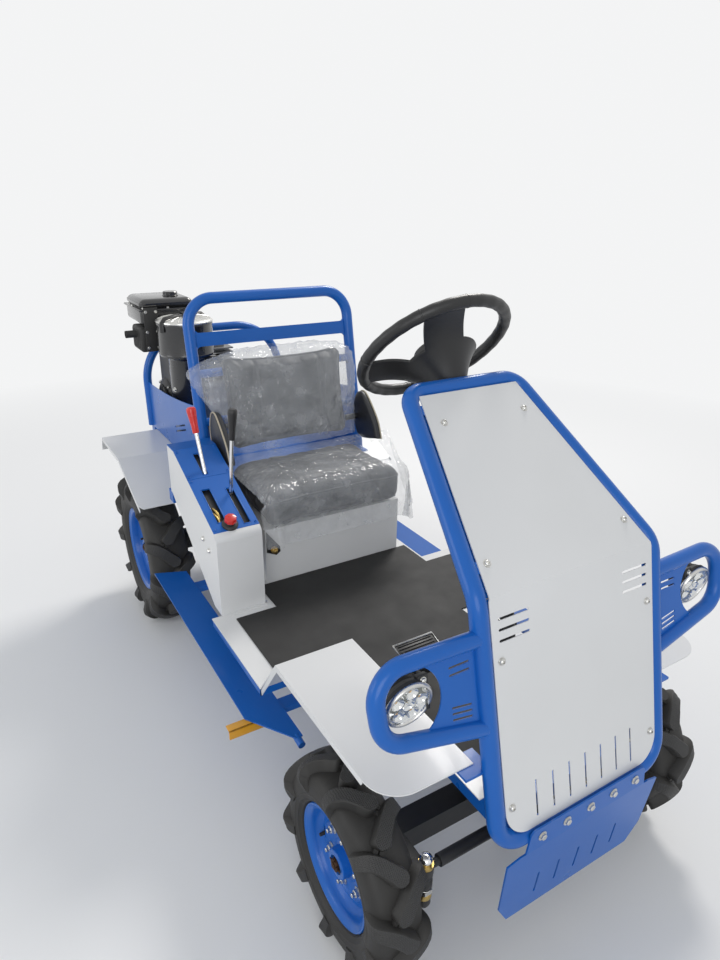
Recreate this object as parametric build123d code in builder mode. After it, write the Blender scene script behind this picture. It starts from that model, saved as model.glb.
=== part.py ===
from build123d import *
from math import atan, cos, radians, sin
import os

os.makedirs("parts", exist_ok=True)

# Compact tractor: front faces -Y, the driver's left is +X, the ground is Z = 0.
# The origin is on the ground under the middle of the whole length and width.

# Running gear
wheelbase = 1580
front_axle_y = -845
rear_axle_y = front_axle_y + wheelbase
wheel_x = 425
steer_arm = 150
kingpin_x = 330

# Round tube and sheet stock
guard_tube = 38
arch_tube = 34
sheet = 3

# Chassis rails
rail_x = 175
rail_wide = 40
rail_low = 396
rail_top = 456
rail_front_y = -1103
rail_rear_y = 1080
cross = 40

# Floor and rear deck
floor_half = 471
floor_front_y = -466
floor_rear_y = -110
floor_top = rail_top + sheet
deck_half = 300
deck_front_y = 310
deck_rear_y = 1090
deck_row_rear = 1055
deck_z = 700
deck_top = deck_z + 4

# Front cowl: bottom, fold and top of the tube's centre line
cowl_bottom = (238, -1103, 425)
cowl_fold = (243, -984, 932)
cowl_top = (154, -608, 1222)

# Seat guard and rear arch
guard_x = 300
guard_foot = (345, deck_top)
guard_head = (455, 1300)
arch_foot = (1058, deck_top)
arch_head = (1078, 1090)

# Steering column
wheel_centre = (-495, 1284)
column_angle = 45


def keep(name, builder):
    """Label a finished piece and write it out."""
    builder.part.label = name
    export_step(builder.part, f"parts/{name}.step")


def bent_tube(points, radius, outer):
    """Round bar along straight runs joined by tangent bends."""
    with BuildLine() as path:
        if len(points) > 2:
            FilletPolyline(*points, radius=radius)
        else:
            Line(*points)
    with BuildSketch(Plane(path.line @ 0, z_dir=path.line % 0)) as ring:
        Circle(outer / 2)
    sweep(ring.sketch, path=path.line)


def block(low, high, mode=Mode.ADD):
    """Square-edged block between two corners."""
    size = [b - a for a, b in zip(low, high)]
    with Locations(tuple((a + b) / 2 for a, b in zip(low, high))):
        Box(*size, mode=mode)


def both_sides():
    """Repeat on -X what stands on +X."""
    mirror(about=Plane.YZ)


def side_profile(points, x_from, x_to, mode=Mode.ADD):
    """Extrude a (Y, Z) outline across the tractor."""
    with BuildSketch(Plane.YZ.offset(x_from)) as outline:
        with BuildLine():
            Polyline(*points, close=True)
        make_face()
    extrude(outline.sketch, amount=x_to - x_from, mode=mode)


def level_profile(points, z_from, z_to, mode=Mode.ADD):
    """Extrude an (X, Y) outline upwards."""
    with BuildSketch(Plane.XY.offset(z_from)) as outline:
        with BuildLine():
            Polyline(*points, close=True)
        make_face()
    extrude(outline.sketch, amount=z_to - z_from, mode=mode)


def turned(profile, centre, mode=Mode.ADD):
    """Revolve a (distance outboard, radius) outline about a wheel's axle."""
    x, y, z = centre
    frame = Plane(origin=(x, y, z), x_dir=(1 if x > 0 else -1, 0, 0), z_dir=(0, -1 if x > 0 else 1, 0))
    with BuildSketch(frame) as outline:
        with BuildLine():
            Polyline(*profile, close=True)
        make_face()
    revolve(outline.sketch, axis=Axis((x, y, z), (1, 0, 0)), mode=mode)


def along_x(radius, x_from, x_to, y, z, mode=Mode.ADD):
    """Round bar or bore along X."""
    with Locations(Location(((x_from + x_to) / 2, y, z), (0, 90, 0))):
        Cylinder(radius, x_to - x_from, mode=mode)


def upright(radius, x, y, z_from, z_to, mode=Mode.ADD):
    """Round bar or bore along Z."""
    with Locations((x, y, (z_from + z_to) / 2)):
        Cylinder(radius, z_to - z_from, mode=mode)


# Cowl runs: local X across, local Y up the run, local Z out of the front
def run_plane(start, end):
    """Plane along one straight run of the cowl tube."""
    run = Vector(0, end[1] - start[1], end[2] - start[2]).normalized()
    return Plane(origin=(0, start[1], start[2]), x_dir=(1, 0, 0), z_dir=(0, -run.Z, run.Y))


def run_length(start, end):
    """Length of a cowl run seen from the side."""
    return Vector(0, end[1] - start[1], end[2] - start[2]).length


lower_run = run_plane(cowl_bottom, cowl_fold)
upper_run = run_plane(cowl_fold, cowl_top)
lower_length = run_length(cowl_bottom, cowl_fold)
upper_length = run_length(cowl_fold, cowl_top)
panel_rise = 12
tab_rows = ((lower_run, lower_length, 0.16), (lower_run, lower_length, 0.80))
tab_rows += ((upper_run, upper_length, 0.12), (upper_run, upper_length, 0.88))


def tube_x(run, ratio):
    """Half width of the cowl tube's centre line part of the way up a run."""
    low, high = (cowl_bottom, cowl_fold) if run is lower_run else (cowl_fold, cowl_top)
    return low[0] + (high[0] - low[0]) * ratio


def flat_on(plane, points, low, high, mode=Mode.ADD):
    """Extrude an outline drawn on a plane between two distances out of it."""
    with BuildSketch(plane.offset(low)) as outline:
        with BuildLine():
            Polyline(*points, close=True)
        make_face()
    extrude(outline.sketch, amount=high - low, mode=mode)


def rectangle_points(x_low, x_high, y_low, y_high):
    """Corners of a rectangle in order."""
    return [(x_low, y_low), (x_high, y_low), (x_high, y_high), (x_low, y_high)]


def cut_slots(plane, slots, low, high):
    """Cut round-ended slots, each (middle x, middle y, length, width, turn), between two distances."""
    with BuildSketch(plane.offset(low)) as cuts:
        for x, y, length, wide, turn in slots:
            with Locations((x, y)):
                SlotOverall(length, wide, rotation=turn)
    extrude(cuts.sketch, amount=high - low, mode=Mode.SUBTRACT)


# Cowl: one bent tube round the front, with tabs behind the panel and brackets for the fenders
fender_top = 600
fender_inner = 232
with BuildPart() as cowl_frame:
    left = [(-x, y, z) for x, y, z in (cowl_top, cowl_fold, cowl_bottom)]
    right = [cowl_bottom, cowl_fold, cowl_top]
    with BuildLine() as cowl_path:
        FilletPolyline(*left, *right, radius=(45, 70, 60, 60, 70, 45), close=True)
    with BuildSketch(Plane(cowl_path.line @ 0, z_dir=cowl_path.line % 0)) as cowl_ring:
        Circle(guard_tube / 2)
    sweep(cowl_ring.sketch, path=cowl_path.line)
    for run, length, ratio in tab_rows:
        x = tube_x(run, ratio)
        row = length * ratio
        for side in (-1, 1):
            low, high = sorted((side * (x - 46), side * (x - 6)))
            flat_on(run, rectangle_points(low, high, row - 12, row + 12), panel_rise - 4, panel_rise)
    for side in (-1, 1):
        low, high = sorted((side * 236, side * 300))
        block((low, -1060, fender_top - sheet - 6), (high, -1000, fender_top - sheet))
keep("cowl_frame", cowl_frame)

# Cowl panel: one sheet folded across the front between the tubes
panel_gap = 15.5
panel_sheet = 2
panel_low = 16
panel_high = upper_length - 22
panel_corner_low = 60
panel_corner_high = 30
vent_pitch = 47
vent_rows = (35, 119)
vent_wide = 5
louvre_rows = (436, 458, 480)
louvre_reach = (132, 209)
louvre_wide = 6


def cowl_point(run, along, out):
    """Point (Y, Z) on a cowl run."""
    point = run.from_local_coords((0, along, out))
    return (point.Y, point.Z)


def fold_point(out):
    """Where both runs' sheets at one distance out meet."""
    mitre = (lower_run.z_dir + upper_run.z_dir) / (1 + lower_run.z_dir.dot(upper_run.z_dir))
    return (cowl_fold[1] + mitre.Y * out, cowl_fold[2] + mitre.Z * out)


panel_back = panel_rise
panel_face = panel_rise + panel_sheet
panel_half = [point[0] - panel_gap for point in (cowl_bottom, cowl_fold, cowl_top)]
with BuildPart() as cowl_panel:
    side_profile(
        [
            cowl_point(lower_run, panel_low, panel_back), fold_point(panel_back),
            cowl_point(upper_run, panel_high, panel_back), cowl_point(upper_run, panel_high, panel_face),
            fold_point(panel_face), cowl_point(lower_run, panel_low, panel_face),
        ],
        -cowl_fold[0],
        cowl_fold[0],
    )
    with BuildSketch(Plane(origin=(0, -500, 0), x_dir=(1, 0, 0), z_dir=(0, -1, 0))) as panel_outline:
        with BuildLine():
            low_z = cowl_point(lower_run, panel_low, panel_back)[1]
            high_z = cowl_point(upper_run, panel_high, panel_face)[1]
            Polyline(
                (-panel_half[0], low_z), (panel_half[0], low_z), (panel_half[1], cowl_fold[2]),
                (panel_half[2], high_z), (-panel_half[2], high_z), (-panel_half[1], cowl_fold[2]), close=True,
            )
        make_face()
        corners = panel_outline.vertices().group_by(Axis.Y)
        fillet(corners[0], panel_corner_low)
        fillet(corners[-1], panel_corner_high)
    extrude(panel_outline.sketch, amount=800, mode=Mode.INTERSECT)
    vent_long = vent_rows[1] - vent_rows[0]
    louvre_long = louvre_reach[1] - louvre_reach[0]
    slots = [(vent_pitch * k, sum(vent_rows) / 2, vent_long, vent_wide, 90) for k in range(-3, 4)]
    for row in louvre_rows:
        slots += [(side * sum(louvre_reach) / 2, row, louvre_long, louvre_wide, 0) for side in (-1, 1)]
    cut_slots(lower_run, slots, panel_back - 1, panel_face + 1)
keep("cowl_panel", cowl_panel)

# Chassis: two rails, cross members, posts and deck frame
cross_rows = (-1040, -440, -100, 280, 1060)
axle_rows = (front_axle_y - 55, front_axle_y + 55)
transaxle_rows = (500, 860)
axle_row_rise = 40
transaxle_row_rise = 30
with BuildPart() as chassis_frame:
    block((rail_x - rail_wide / 2, rail_front_y, rail_low), (rail_x + rail_wide / 2, rail_rear_y, rail_top))
    for y in cross_rows:
        block((0, y - cross / 2, rail_top - cross), (rail_x, y + cross / 2, rail_top))
    for y in axle_rows:
        block((0, y - 15, rail_low), (rail_x, y + 15, rail_low + axle_row_rise))
    for y in transaxle_rows:
        block((0, y - cross / 2, rail_low), (rail_x, y + cross / 2, rail_low + transaxle_row_rise))
    both_sides()
    add(cowl_frame.part, mode=Mode.SUBTRACT)
keep("chassis_frame", chassis_frame)

# Front axle beam with an upright kingpin barrel at each end
front_tyre_r = 240
kingpin_r = 11
barrel_low = 200
barrel_high = 280
running_gap = 0.05
with BuildPart() as front_axle:
    block((0, front_axle_y - 30, 210), (kingpin_x - 15, front_axle_y + 30, 270))
    block((60, front_axle_y - 25, 270), (100, front_axle_y + 25, rail_low))
    upright(26, kingpin_x, front_axle_y, barrel_low, barrel_high)
    upright(kingpin_r + running_gap, kingpin_x, front_axle_y, barrel_low - 5, barrel_high + 5, Mode.SUBTRACT)
    both_sides()
keep("front_axle", front_axle)

# Transaxle: gearcase under the deck with an axle tube to each rear wheel
rear_tyre_r = 300
axle_bore_r = 18
input_y = 600
input_z = 340
case_half = 95
tube_end = 350
with BuildPart() as transaxle:
    block((-case_half, input_y - 45, rear_tyre_r - 90), (case_half, rear_axle_y + 95, rear_tyre_r + 90))
    fillet(transaxle.edges().filter_by(Axis.X), 40)
    block((-60, transaxle_rows[0] - 20, rail_low - 12), (60, transaxle_rows[1] + 20, rail_low))
    for side in (-1, 1):
        low, high = sorted((side * (case_half - 10), side * tube_end))
        along_x(42, low, high, rear_axle_y, rear_tyre_r)
        low, high = sorted((side * (tube_end - 40), side * tube_end))
        along_x(75, low, high, rear_axle_y, rear_tyre_r)
        low, high = sorted((side * (tube_end - 120), side * (tube_end + 1)))
        along_x(axle_bore_r + running_gap, low, high, rear_axle_y, rear_tyre_r, Mode.SUBTRACT)
keep("transaxle", transaxle)

# Floor sheet and mat
column_hole_r = 22
with BuildPart() as floor_pan:
    level_profile(
        [
            (-floor_half, floor_front_y), (-215, floor_front_y), (-215, -1015), (215, -1015),
            (215, floor_front_y), (floor_half, floor_front_y), (floor_half, floor_rear_y),
            (290, floor_rear_y), (290, 305), (-290, 305), (-290, floor_rear_y), (-floor_half, floor_rear_y),
        ],
        rail_top,
        floor_top,
    )
    upright(column_hole_r, 0, front_axle_y, rail_top - 1, floor_top + 1, Mode.SUBTRACT)
keep("floor_pan", floor_pan)

seat_front_y = -10
with BuildPart() as floor_mat:
    level_profile(
        [
            (-410, -440), (-200, -440), (-200, -960), (200, -960), (200, -440), (410, -440),
            (410, -150), (280, -150), (280, seat_front_y - 5),
            (-280, seat_front_y - 5), (-280, -150), (-410, -150),
        ],
        floor_top,
        floor_top + 4,
    )
    upright(column_hole_r, 0, front_axle_y, floor_top - 1, floor_top + 5, Mode.SUBTRACT)
keep("floor_mat", floor_mat)

# Skid plate: flange bolted across the front of the bottom tube, bent back below it
skid_back_y = cowl_bottom[1] - guard_tube / 2
skid_sheet = 4
skid_top = 450
skid_bend = 395
skid_low = 184
skid_lean = 0.098
skid_half = ((164, skid_top), (172, skid_top - 8), (180, skid_bend), (194, skid_bend))
skid_half += ((228, 386), (221, 239), (190, skid_low))
skid_slot_pitch = 60
skid_slot_drop = (99, 166)
with BuildPart() as skid_plate:
    bend_y = skid_back_y - skid_sheet
    tail_y = bend_y + (skid_bend - skid_low) * skid_lean
    side_profile(
        [
            (skid_back_y, skid_top), (bend_y, skid_top), (bend_y, skid_bend), (tail_y, skid_low),
            (tail_y + skid_sheet, skid_low), (skid_back_y, skid_bend),
        ],
        -skid_half[4][0],
        skid_half[4][0],
    )
    front = Plane(origin=(0, skid_back_y, 0), x_dir=(1, 0, 0), z_dir=(0, -1, 0))
    flat_on(front, list(skid_half) + [(-x, z) for x, z in reversed(skid_half)], -60, 60, Mode.INTERSECT)
    slot_z = skid_bend - sum(skid_slot_drop) / 2
    slot_long = skid_slot_drop[1] - skid_slot_drop[0]
    cut_slots(front, [(skid_slot_pitch * k, slot_z, slot_long, 6, 90) for k in range(-2, 3)], -60, 60)
keep("skid_plate", skid_plate)

# Lamp guards: a bent hoop off each side of the cowl, its inner part filled by a slotted sheet
hoop_tube = 34
hoop_bend = 60
hoop_points = [(cowl_fold[0], 451), (481, 458), (473, 320), (cowl_bottom[0] + 2, 268)]
guard_sheet = 3
guard_edge = 385
guard_slots = ((416, 0), (401, 0), (333, 9), (321, 9), (309, 9))
lamp_place = (405, 370)
lamp_bay = (414, 376)
lamp_bay_r = 73
with BuildPart() as lamp_guards:
    bent_tube([tuple(lower_run.from_local_coords((x, y, 0))) for x, y in hoop_points], hoop_bend, hoop_tube)
    sheet_points = [hoop_points[0], (guard_edge, 455), (guard_edge, 301), hoop_points[-1]]
    flat_on(lower_run, sheet_points, -guard_sheet / 2, guard_sheet / 2)
    with BuildSketch(lower_run.offset(-guard_sheet)) as bay:
        with Locations(lamp_bay):
            Circle(lamp_bay_r)
    extrude(bay.sketch, amount=2 * guard_sheet, mode=Mode.SUBTRACT)
    bent_tube([tuple(lower_run.from_local_coords((x, y, 0))) for x, y in hoop_points], hoop_bend, hoop_tube)
    cut_slots(lower_run, [(297, row, 48, 5, turn) for row, turn in guard_slots], -guard_sheet, guard_sheet)
    both_sides()
    add(cowl_frame.part, mode=Mode.SUBTRACT)
keep("lamp_guards", lamp_guards)

# Headlamps: round lamps aimed a little down, each on a bracket behind its guard's sheet
lamp_tilt = 9
lamp_sections = ((0, 46), (2, 50), (16, 50), (18, 44), (46, 32), (50, 24))
with BuildPart() as headlamps:
    face = lower_run.from_local_coords((*lamp_place, -8))
    back = Vector(0, cos(radians(lamp_tilt)), sin(radians(lamp_tilt)))
    with BuildSketch(Plane(origin=face, x_dir=back, z_dir=(1, 0, 0))) as lamp_outline:
        with BuildLine():
            Polyline((lamp_sections[0][0], 0), *lamp_sections, (lamp_sections[-1][0], 0), close=True)
        make_face()
    revolve(lamp_outline.sketch, axis=Axis(face, back))
    flat_on(lower_run, rectangle_points(322, 362, 354, 386), -14, -guard_sheet / 2)
    both_sides()
keep("headlamps", headlamps)

# Front fenders: bent sheet from the floor up over the wheel
fender_corner = 75
with BuildPart() as front_fenders:
    side_profile(
        [
            (floor_front_y + 26, floor_top), (floor_front_y + 26, floor_top + sheet),
            (floor_front_y - 2, floor_top + sheet), (-569, fender_top), (-1035, fender_top),
            (-1035, fender_top - sheet), (-571, fender_top - sheet), (floor_front_y - 3, floor_top),
        ],
        fender_inner + 30,
        floor_half,
    )
    fillet(front_fenders.edges().filter_by(Axis.Z).group_by(Axis.Y)[0].sort_by(Axis.X)[-1], fender_corner)
    both_sides()
keep("front_fenders", front_fenders)

# Rear fenders: bent sheet under the deck's edge and over the wheel, with a flap behind
rear_fender_inner = 275
rear_fender_half = 525
rear_fender_corner = 35
flap_low = 640
with BuildPart() as rear_fenders:
    side_profile(
        [
            (1022, flap_low), (995, deck_z), (715, deck_z), (446, 600),
            (446, 600 - sheet), (715, deck_z - sheet), (992, deck_z - sheet), (1019, flap_low),
        ],
        rear_fender_inner,
        rear_fender_half,
    )
    with BuildSketch(Plane.XY.offset(flap_low)) as fender_outline:
        with BuildLine():
            Polyline(*rectangle_points(rear_fender_inner, rear_fender_half, 440, 1030), close=True)
        make_face()
        fillet(fender_outline.vertices().group_by(Axis.Y)[0].sort_by(Axis.X)[-1], rear_fender_corner)
    extrude(fender_outline.sketch, amount=100, both=True, mode=Mode.INTERSECT)
    both_sides()
keep("rear_fenders", rear_fenders)

# Side steps: sheet boards between the wheels, each on two brackets under the rail
step_z = 346
step_sheet = 4
step_in = 400
step_out = 505
step_rows = (-420, 280)
bracket = 40
bracket_rise = 20
with BuildPart() as side_steps:
    level_profile(
        [(step_in, 385), (step_out, 425), (step_out, -430), (step_in + 20, -560), (step_in, -560)],
        step_z,
        step_z + step_sheet,
    )
    for y in step_rows:
        low_y, high_y = y - bracket / 2, y + bracket / 2
        block((rail_x - bracket / 2, low_y, step_z - bracket_rise), (rail_x + bracket / 2, high_y, rail_low))
        block((rail_x, low_y, step_z - bracket_rise), (step_out - 15, high_y, step_z))
    both_sides()
keep("side_steps", side_steps)

# Control console: tall sheet box at the driver's right, open below
console_out = -440
console_in = -300
console_front_y = floor_rear_y
console_front_top = 717
console_bend = (255, 862)
console_rear_y = 322
console_sheet = 2
console_edge = 18
console_top_sheet = 3
console_split_y = 121
console_over = 1000
console_under = 600
with BuildPart() as console_box:
    side_profile(
        [
            (console_front_y, floor_top), (console_front_y, console_front_top - console_edge),
            (console_front_y + console_edge, console_front_top + 4), console_bend,
            (console_rear_y, console_bend[1]), (console_rear_y, deck_z), (deck_front_y, deck_z),
            (console_front_y + 60, floor_top),
        ],
        console_out,
        console_in,
    )
    side_profile(
        [
            (console_front_y + console_sheet, floor_top - 5), (console_front_y + console_sheet, console_over),
            (console_rear_y - console_sheet, console_over), (console_rear_y - console_sheet, floor_top - 5),
        ],
        console_out + console_sheet,
        console_in - console_sheet,
        Mode.SUBTRACT,
    )
    block((console_out + 20, console_front_y - 14, floor_top), (console_in, console_front_y, floor_top + 2))
keep("console_box", console_box)

# Console top: two sheets with the lever gates
lever_gates = ((-415, -390, -58, 74), (-342, -322, -80, 62), (-386, -370, 133, 226))
with BuildPart() as console_top:
    top_start = (console_front_y + console_edge, console_front_top + 4)
    side_profile(
        [
            top_start, console_bend, (console_rear_y, console_bend[1]),
            (console_rear_y, console_bend[1] + console_top_sheet),
            (console_bend[0], console_bend[1] + console_top_sheet),
            (top_start[0], top_start[1] + console_top_sheet),
        ],
        console_out,
        console_in,
    )
    split_end = console_split_y + 1.5
    block((console_out, console_split_y, console_under), (console_in, split_end, console_over), Mode.SUBTRACT)
    for x_low, x_high, y_low, y_high in lever_gates:
        block((x_low, y_low, console_under), (x_high, y_high, console_over), Mode.SUBTRACT)
keep("console_top", console_top)

# Hand levers on a cross shaft inside the console, and a push knob on the top sheet
lever_shaft = (60, 640)
levers = (
    ((-378, 152, 840), (-386, 205, 1008), 15),
    ((-332, 42, 800), (-326, 5, 1046), 13),
)
knob_place = (-384, -74)
knob_low = 722
with BuildPart() as hand_levers:
    along_x(9, console_out + console_sheet, console_in - console_sheet, *lever_shaft)
    for base, top, grip in levers:
        foot = (base[0], lever_shaft[0], lever_shaft[1])
        bent_tube([foot, base, top], 40, 10)
        start = Vector(*top) + (Vector(*base) - Vector(*top)).normalized() * 75
        bent_tube([tuple(start), top], 0, 2 * grip)
    upright(6, *knob_place, knob_low, knob_low + 23)
    upright(17, *knob_place, knob_low + 21, knob_low + 40)
    add(console_top.part, mode=Mode.SUBTRACT)
keep("hand_levers", hand_levers)

# Seat: sheet box, cushion and backrest
seat_half = 250
seat_rear_y = 300
seat_box_top = 650
with BuildPart() as seat_box:
    block((-seat_half, seat_front_y, floor_top), (seat_half, seat_rear_y, seat_box_top))
    block(
        (-seat_half + 2, seat_front_y + 2, floor_top - 1),
        (seat_half - 2, seat_rear_y - 2, seat_box_top - 2),
        Mode.SUBTRACT,
    )
keep("seat_box", seat_box)

with BuildPart() as seat_cushion:
    block((-265, -50, seat_box_top), (265, seat_rear_y, 790))
    fillet(seat_cushion.edges().filter_by(Axis.Z), 50)
    fillet(seat_cushion.faces().sort_by(Axis.Z)[-1].edges(), 35)
keep("seat_cushion", seat_cushion)

guard_lean = (guard_head[0] - guard_foot[0]) / (guard_head[1] - guard_foot[1])
back_low = 792
back_high = 1150


def guard_y(z):
    """Depth of the seat guard's centre line at a height."""
    return guard_foot[0] + guard_lean * (z - guard_foot[1])


back_bar_r = 14
back_rear = back_bar_r / cos(atan(guard_lean))
back_thick = 80
with BuildPart() as seat_back:
    side_profile(
        [
            (guard_y(back_low) - back_rear - back_thick, back_low),
            (guard_y(back_low) - back_rear, back_low),
            (guard_y(back_high) - back_rear, back_high),
            (guard_y(back_high) - back_rear - back_thick, back_high),
        ],
        -240,
        240,
    )
    fillet(seat_back.edges().filter_by(Axis.Y, tolerance=30), 30)
keep("seat_back", seat_back)

# Seat guard: leaning hoop behind the seat with two cross bars and a broad strip under its top
bar_rows = (900, 1060)
strip_z = 1170
strip_wide = 45
strip_flare = 16
with BuildPart() as seat_hoop:
    bent_tube(
        [(-guard_x, *guard_foot), (-guard_x, *guard_head), (guard_x, *guard_head), (guard_x, *guard_foot)],
        90,
        guard_tube,
    )
    for z in bar_rows:
        along_x(back_bar_r, -guard_x, guard_x, guard_y(z), z)
    lean_dir = Vector(0, guard_lean, 1).normalized()
    strip_centre = (0, guard_y(strip_z), strip_z)
    strip_plane = Plane(origin=strip_centre, x_dir=(1, 0, 0), z_dir=(0, -lean_dir.Z, lean_dir.Y))
    with BuildSketch(strip_plane.offset(-3)) as strip:
        Rectangle(2 * guard_x, strip_wide + 2 * strip_flare)
        for side in (-1, 1):
            with Locations((0, side * (strip_wide / 2 + 40))):
                RectangleRounded(2 * guard_x - guard_tube + 2, 80, strip_flare, mode=Mode.SUBTRACT)
    extrude(strip.sketch, amount=6)
    for x in (-guard_x, guard_x):
        block((x - 32, guard_foot[0] - 19, deck_top), (x + 32, guard_foot[0] + 40, deck_top + 6))
    block((-400, 300, 690), (400, 400, deck_top), Mode.SUBTRACT)
keep("seat_hoop", seat_hoop)

# Rear deck: sheet on a welded frame of posts and bearers, open where the belt goes down
belt_low_x = 105
belt_high_x = 135
deck_rows = (deck_front_y + cross / 2, deck_row_rear)
with BuildPart() as rear_deck:
    for y in deck_rows:
        low_y, high_y = y - cross / 2, y + cross / 2
        block((rail_x - cross / 2, low_y, rail_top), (rail_x + cross / 2, high_y, deck_z))
        block((0, low_y, deck_z - cross), (guard_x, high_y, deck_z))
    both_sides()
    block((console_out, deck_front_y, deck_z - cross), (-guard_x, deck_front_y + cross, deck_z))
    block((-deck_half, deck_front_y, deck_z), (deck_half, deck_rear_y, deck_top))
    block((belt_low_x - 8, 752, deck_z - 1), (belt_high_x + 8, 928, deck_top + 1), Mode.SUBTRACT)
keep("rear_deck", rear_deck)


def arch_y(z):
    """Depth of the rear arch's centre line at a height."""
    return arch_foot[0] + (arch_head[0] - arch_foot[0]) * (z - arch_foot[1]) / (arch_head[1] - arch_foot[1])


# Rear guard: arch over the deck's end and a slotted side sheet to each seat guard leg
sheet_front_z = 952
sheet_crown = (740, 906)
sheet_rear_z = 890
side_slots = ((643, 815, 140, 6, -18), (635, 799, 140, 6, -18))
with BuildPart() as rear_guard:
    bent_tube(
        [(-guard_x, *arch_foot), (-guard_x, *arch_head), (guard_x, *arch_head), (guard_x, *arch_foot)],
        200,
        arch_tube,
    )
    with BuildSketch(Plane.YZ.offset(guard_x - 1.5)) as side_sheet:
        with BuildLine():
            Line((365, deck_top), (arch_foot[0], deck_top))
            rear_corner = (arch_y(sheet_rear_z), sheet_rear_z)
            front_corner = (guard_y(sheet_front_z), sheet_front_z)
            Line((arch_foot[0], deck_top), rear_corner)
            ThreePointArc(rear_corner, sheet_crown, front_corner)
            Line(front_corner, (365, deck_top))
        make_face()
    extrude(side_sheet.sketch, amount=3)
    cut_slots(Plane.YZ.offset(guard_x), side_slots, -3, 3)
    both_sides()
    add(seat_hoop.part, mode=Mode.SUBTRACT)
    block((-400, deck_row_rear - 55, deck_top - 20), (400, deck_row_rear + 71, deck_top), Mode.SUBTRACT)
keep("rear_guard", rear_guard)

# Engine: crankcase, finned cylinder, fan housing, tank, air cleaner, muffler and belt drive
crank_y = 925
crank_z = 830
case_low_x = -200
case_high_x = 20
case_top = 925
with BuildPart() as crankcase:
    block((case_low_x, crank_y - 90, deck_top + 20), (case_high_x, crank_y + 100, case_top))
    fillet(crankcase.edges().filter_by(Axis.X), 20)
    for x in (-175, -25):
        block((x - 18, crank_y - 105, deck_top), (x + 18, crank_y + 103, deck_top + 30))
keep("crankcase", crankcase)

fin_count = 8
fin_pitch = 16
fin_thick = 5
barrel_rows = (crank_y - 60, crank_y + 45)
fin_reach = 25
cylinder_top = 1060
with BuildPart() as cylinder:
    block((-135, barrel_rows[0], case_top), (-30, barrel_rows[1], cylinder_top))
    for row in range(fin_count):
        fin_z = case_top + 6 + fin_pitch * row
        fin_low, fin_high = barrel_rows[0] - fin_reach, barrel_rows[1] + fin_reach
        block((-165, fin_low, fin_z), (0, fin_high, fin_z + fin_thick))
keep("cylinder", cylinder)

fan_r = 86
fan_deep = 62
fan_top = 1042
with BuildPart() as fan_housing:
    along_x(fan_r, case_low_x - fan_deep, case_low_x, crank_y, crank_z + 20)
    block((case_low_x - fan_deep, crank_y - 80, crank_z + 80), (case_low_x, crank_y + 60, fan_top))
keep("fan_housing", fan_housing)

tank_low = 1150
tank_seam = 1208
tank_high = 1262
tank_wide = (-345, -130)
tank_deep = (882, 1110)
strap_rows = (1000, 1014)
with BuildPart() as fuel_tank:
    block((tank_wide[0], tank_deep[0], tank_low), (tank_wide[1], tank_deep[1], tank_high - 14))
    fillet(fuel_tank.edges().filter_by(Axis.Z), 40)
    fillet(fuel_tank.faces().sort_by(Axis.Z)[-1].edges(), 30)
    with BuildSketch(Plane.XY.offset(tank_seam - 3)) as seam:
        with Locations((sum(tank_wide) / 2, sum(tank_deep) / 2)):
            RectangleRounded(tank_wide[1] - tank_wide[0] + 14, tank_deep[1] - tank_deep[0] + 14, 46)
    extrude(seam.sketch, amount=6)
    upright(28, -200, 970, tank_high - 20, tank_high)
    for y in strap_rows:
        block((tank_wide[1] - 40, y, case_top), (tank_wide[1], y + 6, tank_low))
keep("fuel_tank", fuel_tank)

cleaner_place = (-215, 763)
cleaner_r = 102
cleaner_neck_r = 70
cleaner_step = 1054
cleaner_low = 868
cleaner_post = 40
lid_low = 1180
duct_z = (1000, 1040)
with BuildPart() as air_cleaner:
    upright(cleaner_r, *cleaner_place, cleaner_step, lid_low)
    upright(cleaner_neck_r, *cleaner_place, cleaner_low, cleaner_step)
    post_x, post_y = cleaner_place
    post_half = cleaner_post / 2
    block((post_x - post_half, post_y - 3, deck_top), (post_x + post_half, post_y + 3, cleaner_low))
    upright(cleaner_r + 3, *cleaner_place, lid_low, lid_low + 8)
    upright(cleaner_r - 16, *cleaner_place, lid_low + 8, lid_low + 16)
    upright(7, *cleaner_place, lid_low + 16, lid_low + 26)
    block((cleaner_place[0] + 60, cleaner_place[1] - 18, duct_z[0]), (-80, cleaner_place[1] + 22, duct_z[1]))
    block((-110, cleaner_place[1] - 18, duct_z[0]), (-80, barrel_rows[0] - fin_reach, duct_z[1]))
keep("air_cleaner", air_cleaner)

muffler_box = ((-355, 872, 1051), (-290, 1000, 1145))
with BuildPart() as muffler:
    block(*muffler_box)
    fillet(muffler.edges().filter_by(Axis.Z), 12)
    block((-300, 905, 1051), (-135, 930, cylinder_top))
    along_x(14, -400, -350, 920, 1118)
    add(cylinder.part, mode=Mode.SUBTRACT)
    add(fan_housing.part, mode=Mode.SUBTRACT)
keep("muffler", muffler)

pulley_high_r = 55
pulley_low_r = 75
with BuildPart() as belt_drive:
    with BuildSketch(Plane.YZ.offset(belt_low_x)) as belt:
        with Locations((crank_y, crank_z)):
            Circle(pulley_high_r)
        with Locations((input_y, input_z)):
            Circle(pulley_low_r)
        make_hull()
        offset(amount=-10, mode=Mode.SUBTRACT)
    extrude(belt.sketch, amount=belt_high_x - belt_low_x)
    along_x(pulley_high_r - 10, belt_low_x, belt_high_x, crank_y, crank_z)
    along_x(pulley_low_r - 10, belt_low_x, belt_high_x, input_y, input_z)
    along_x(13, case_high_x, belt_high_x, crank_y, crank_z)
    along_x(13, case_half, belt_high_x, input_y, input_z)
keep("belt_drive", belt_drive)

# Steering column: leaning upper tube, bend and lower tube down to the steering box
column_dir = Vector(0, -cos(radians(column_angle)), -sin(radians(column_angle)))


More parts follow.
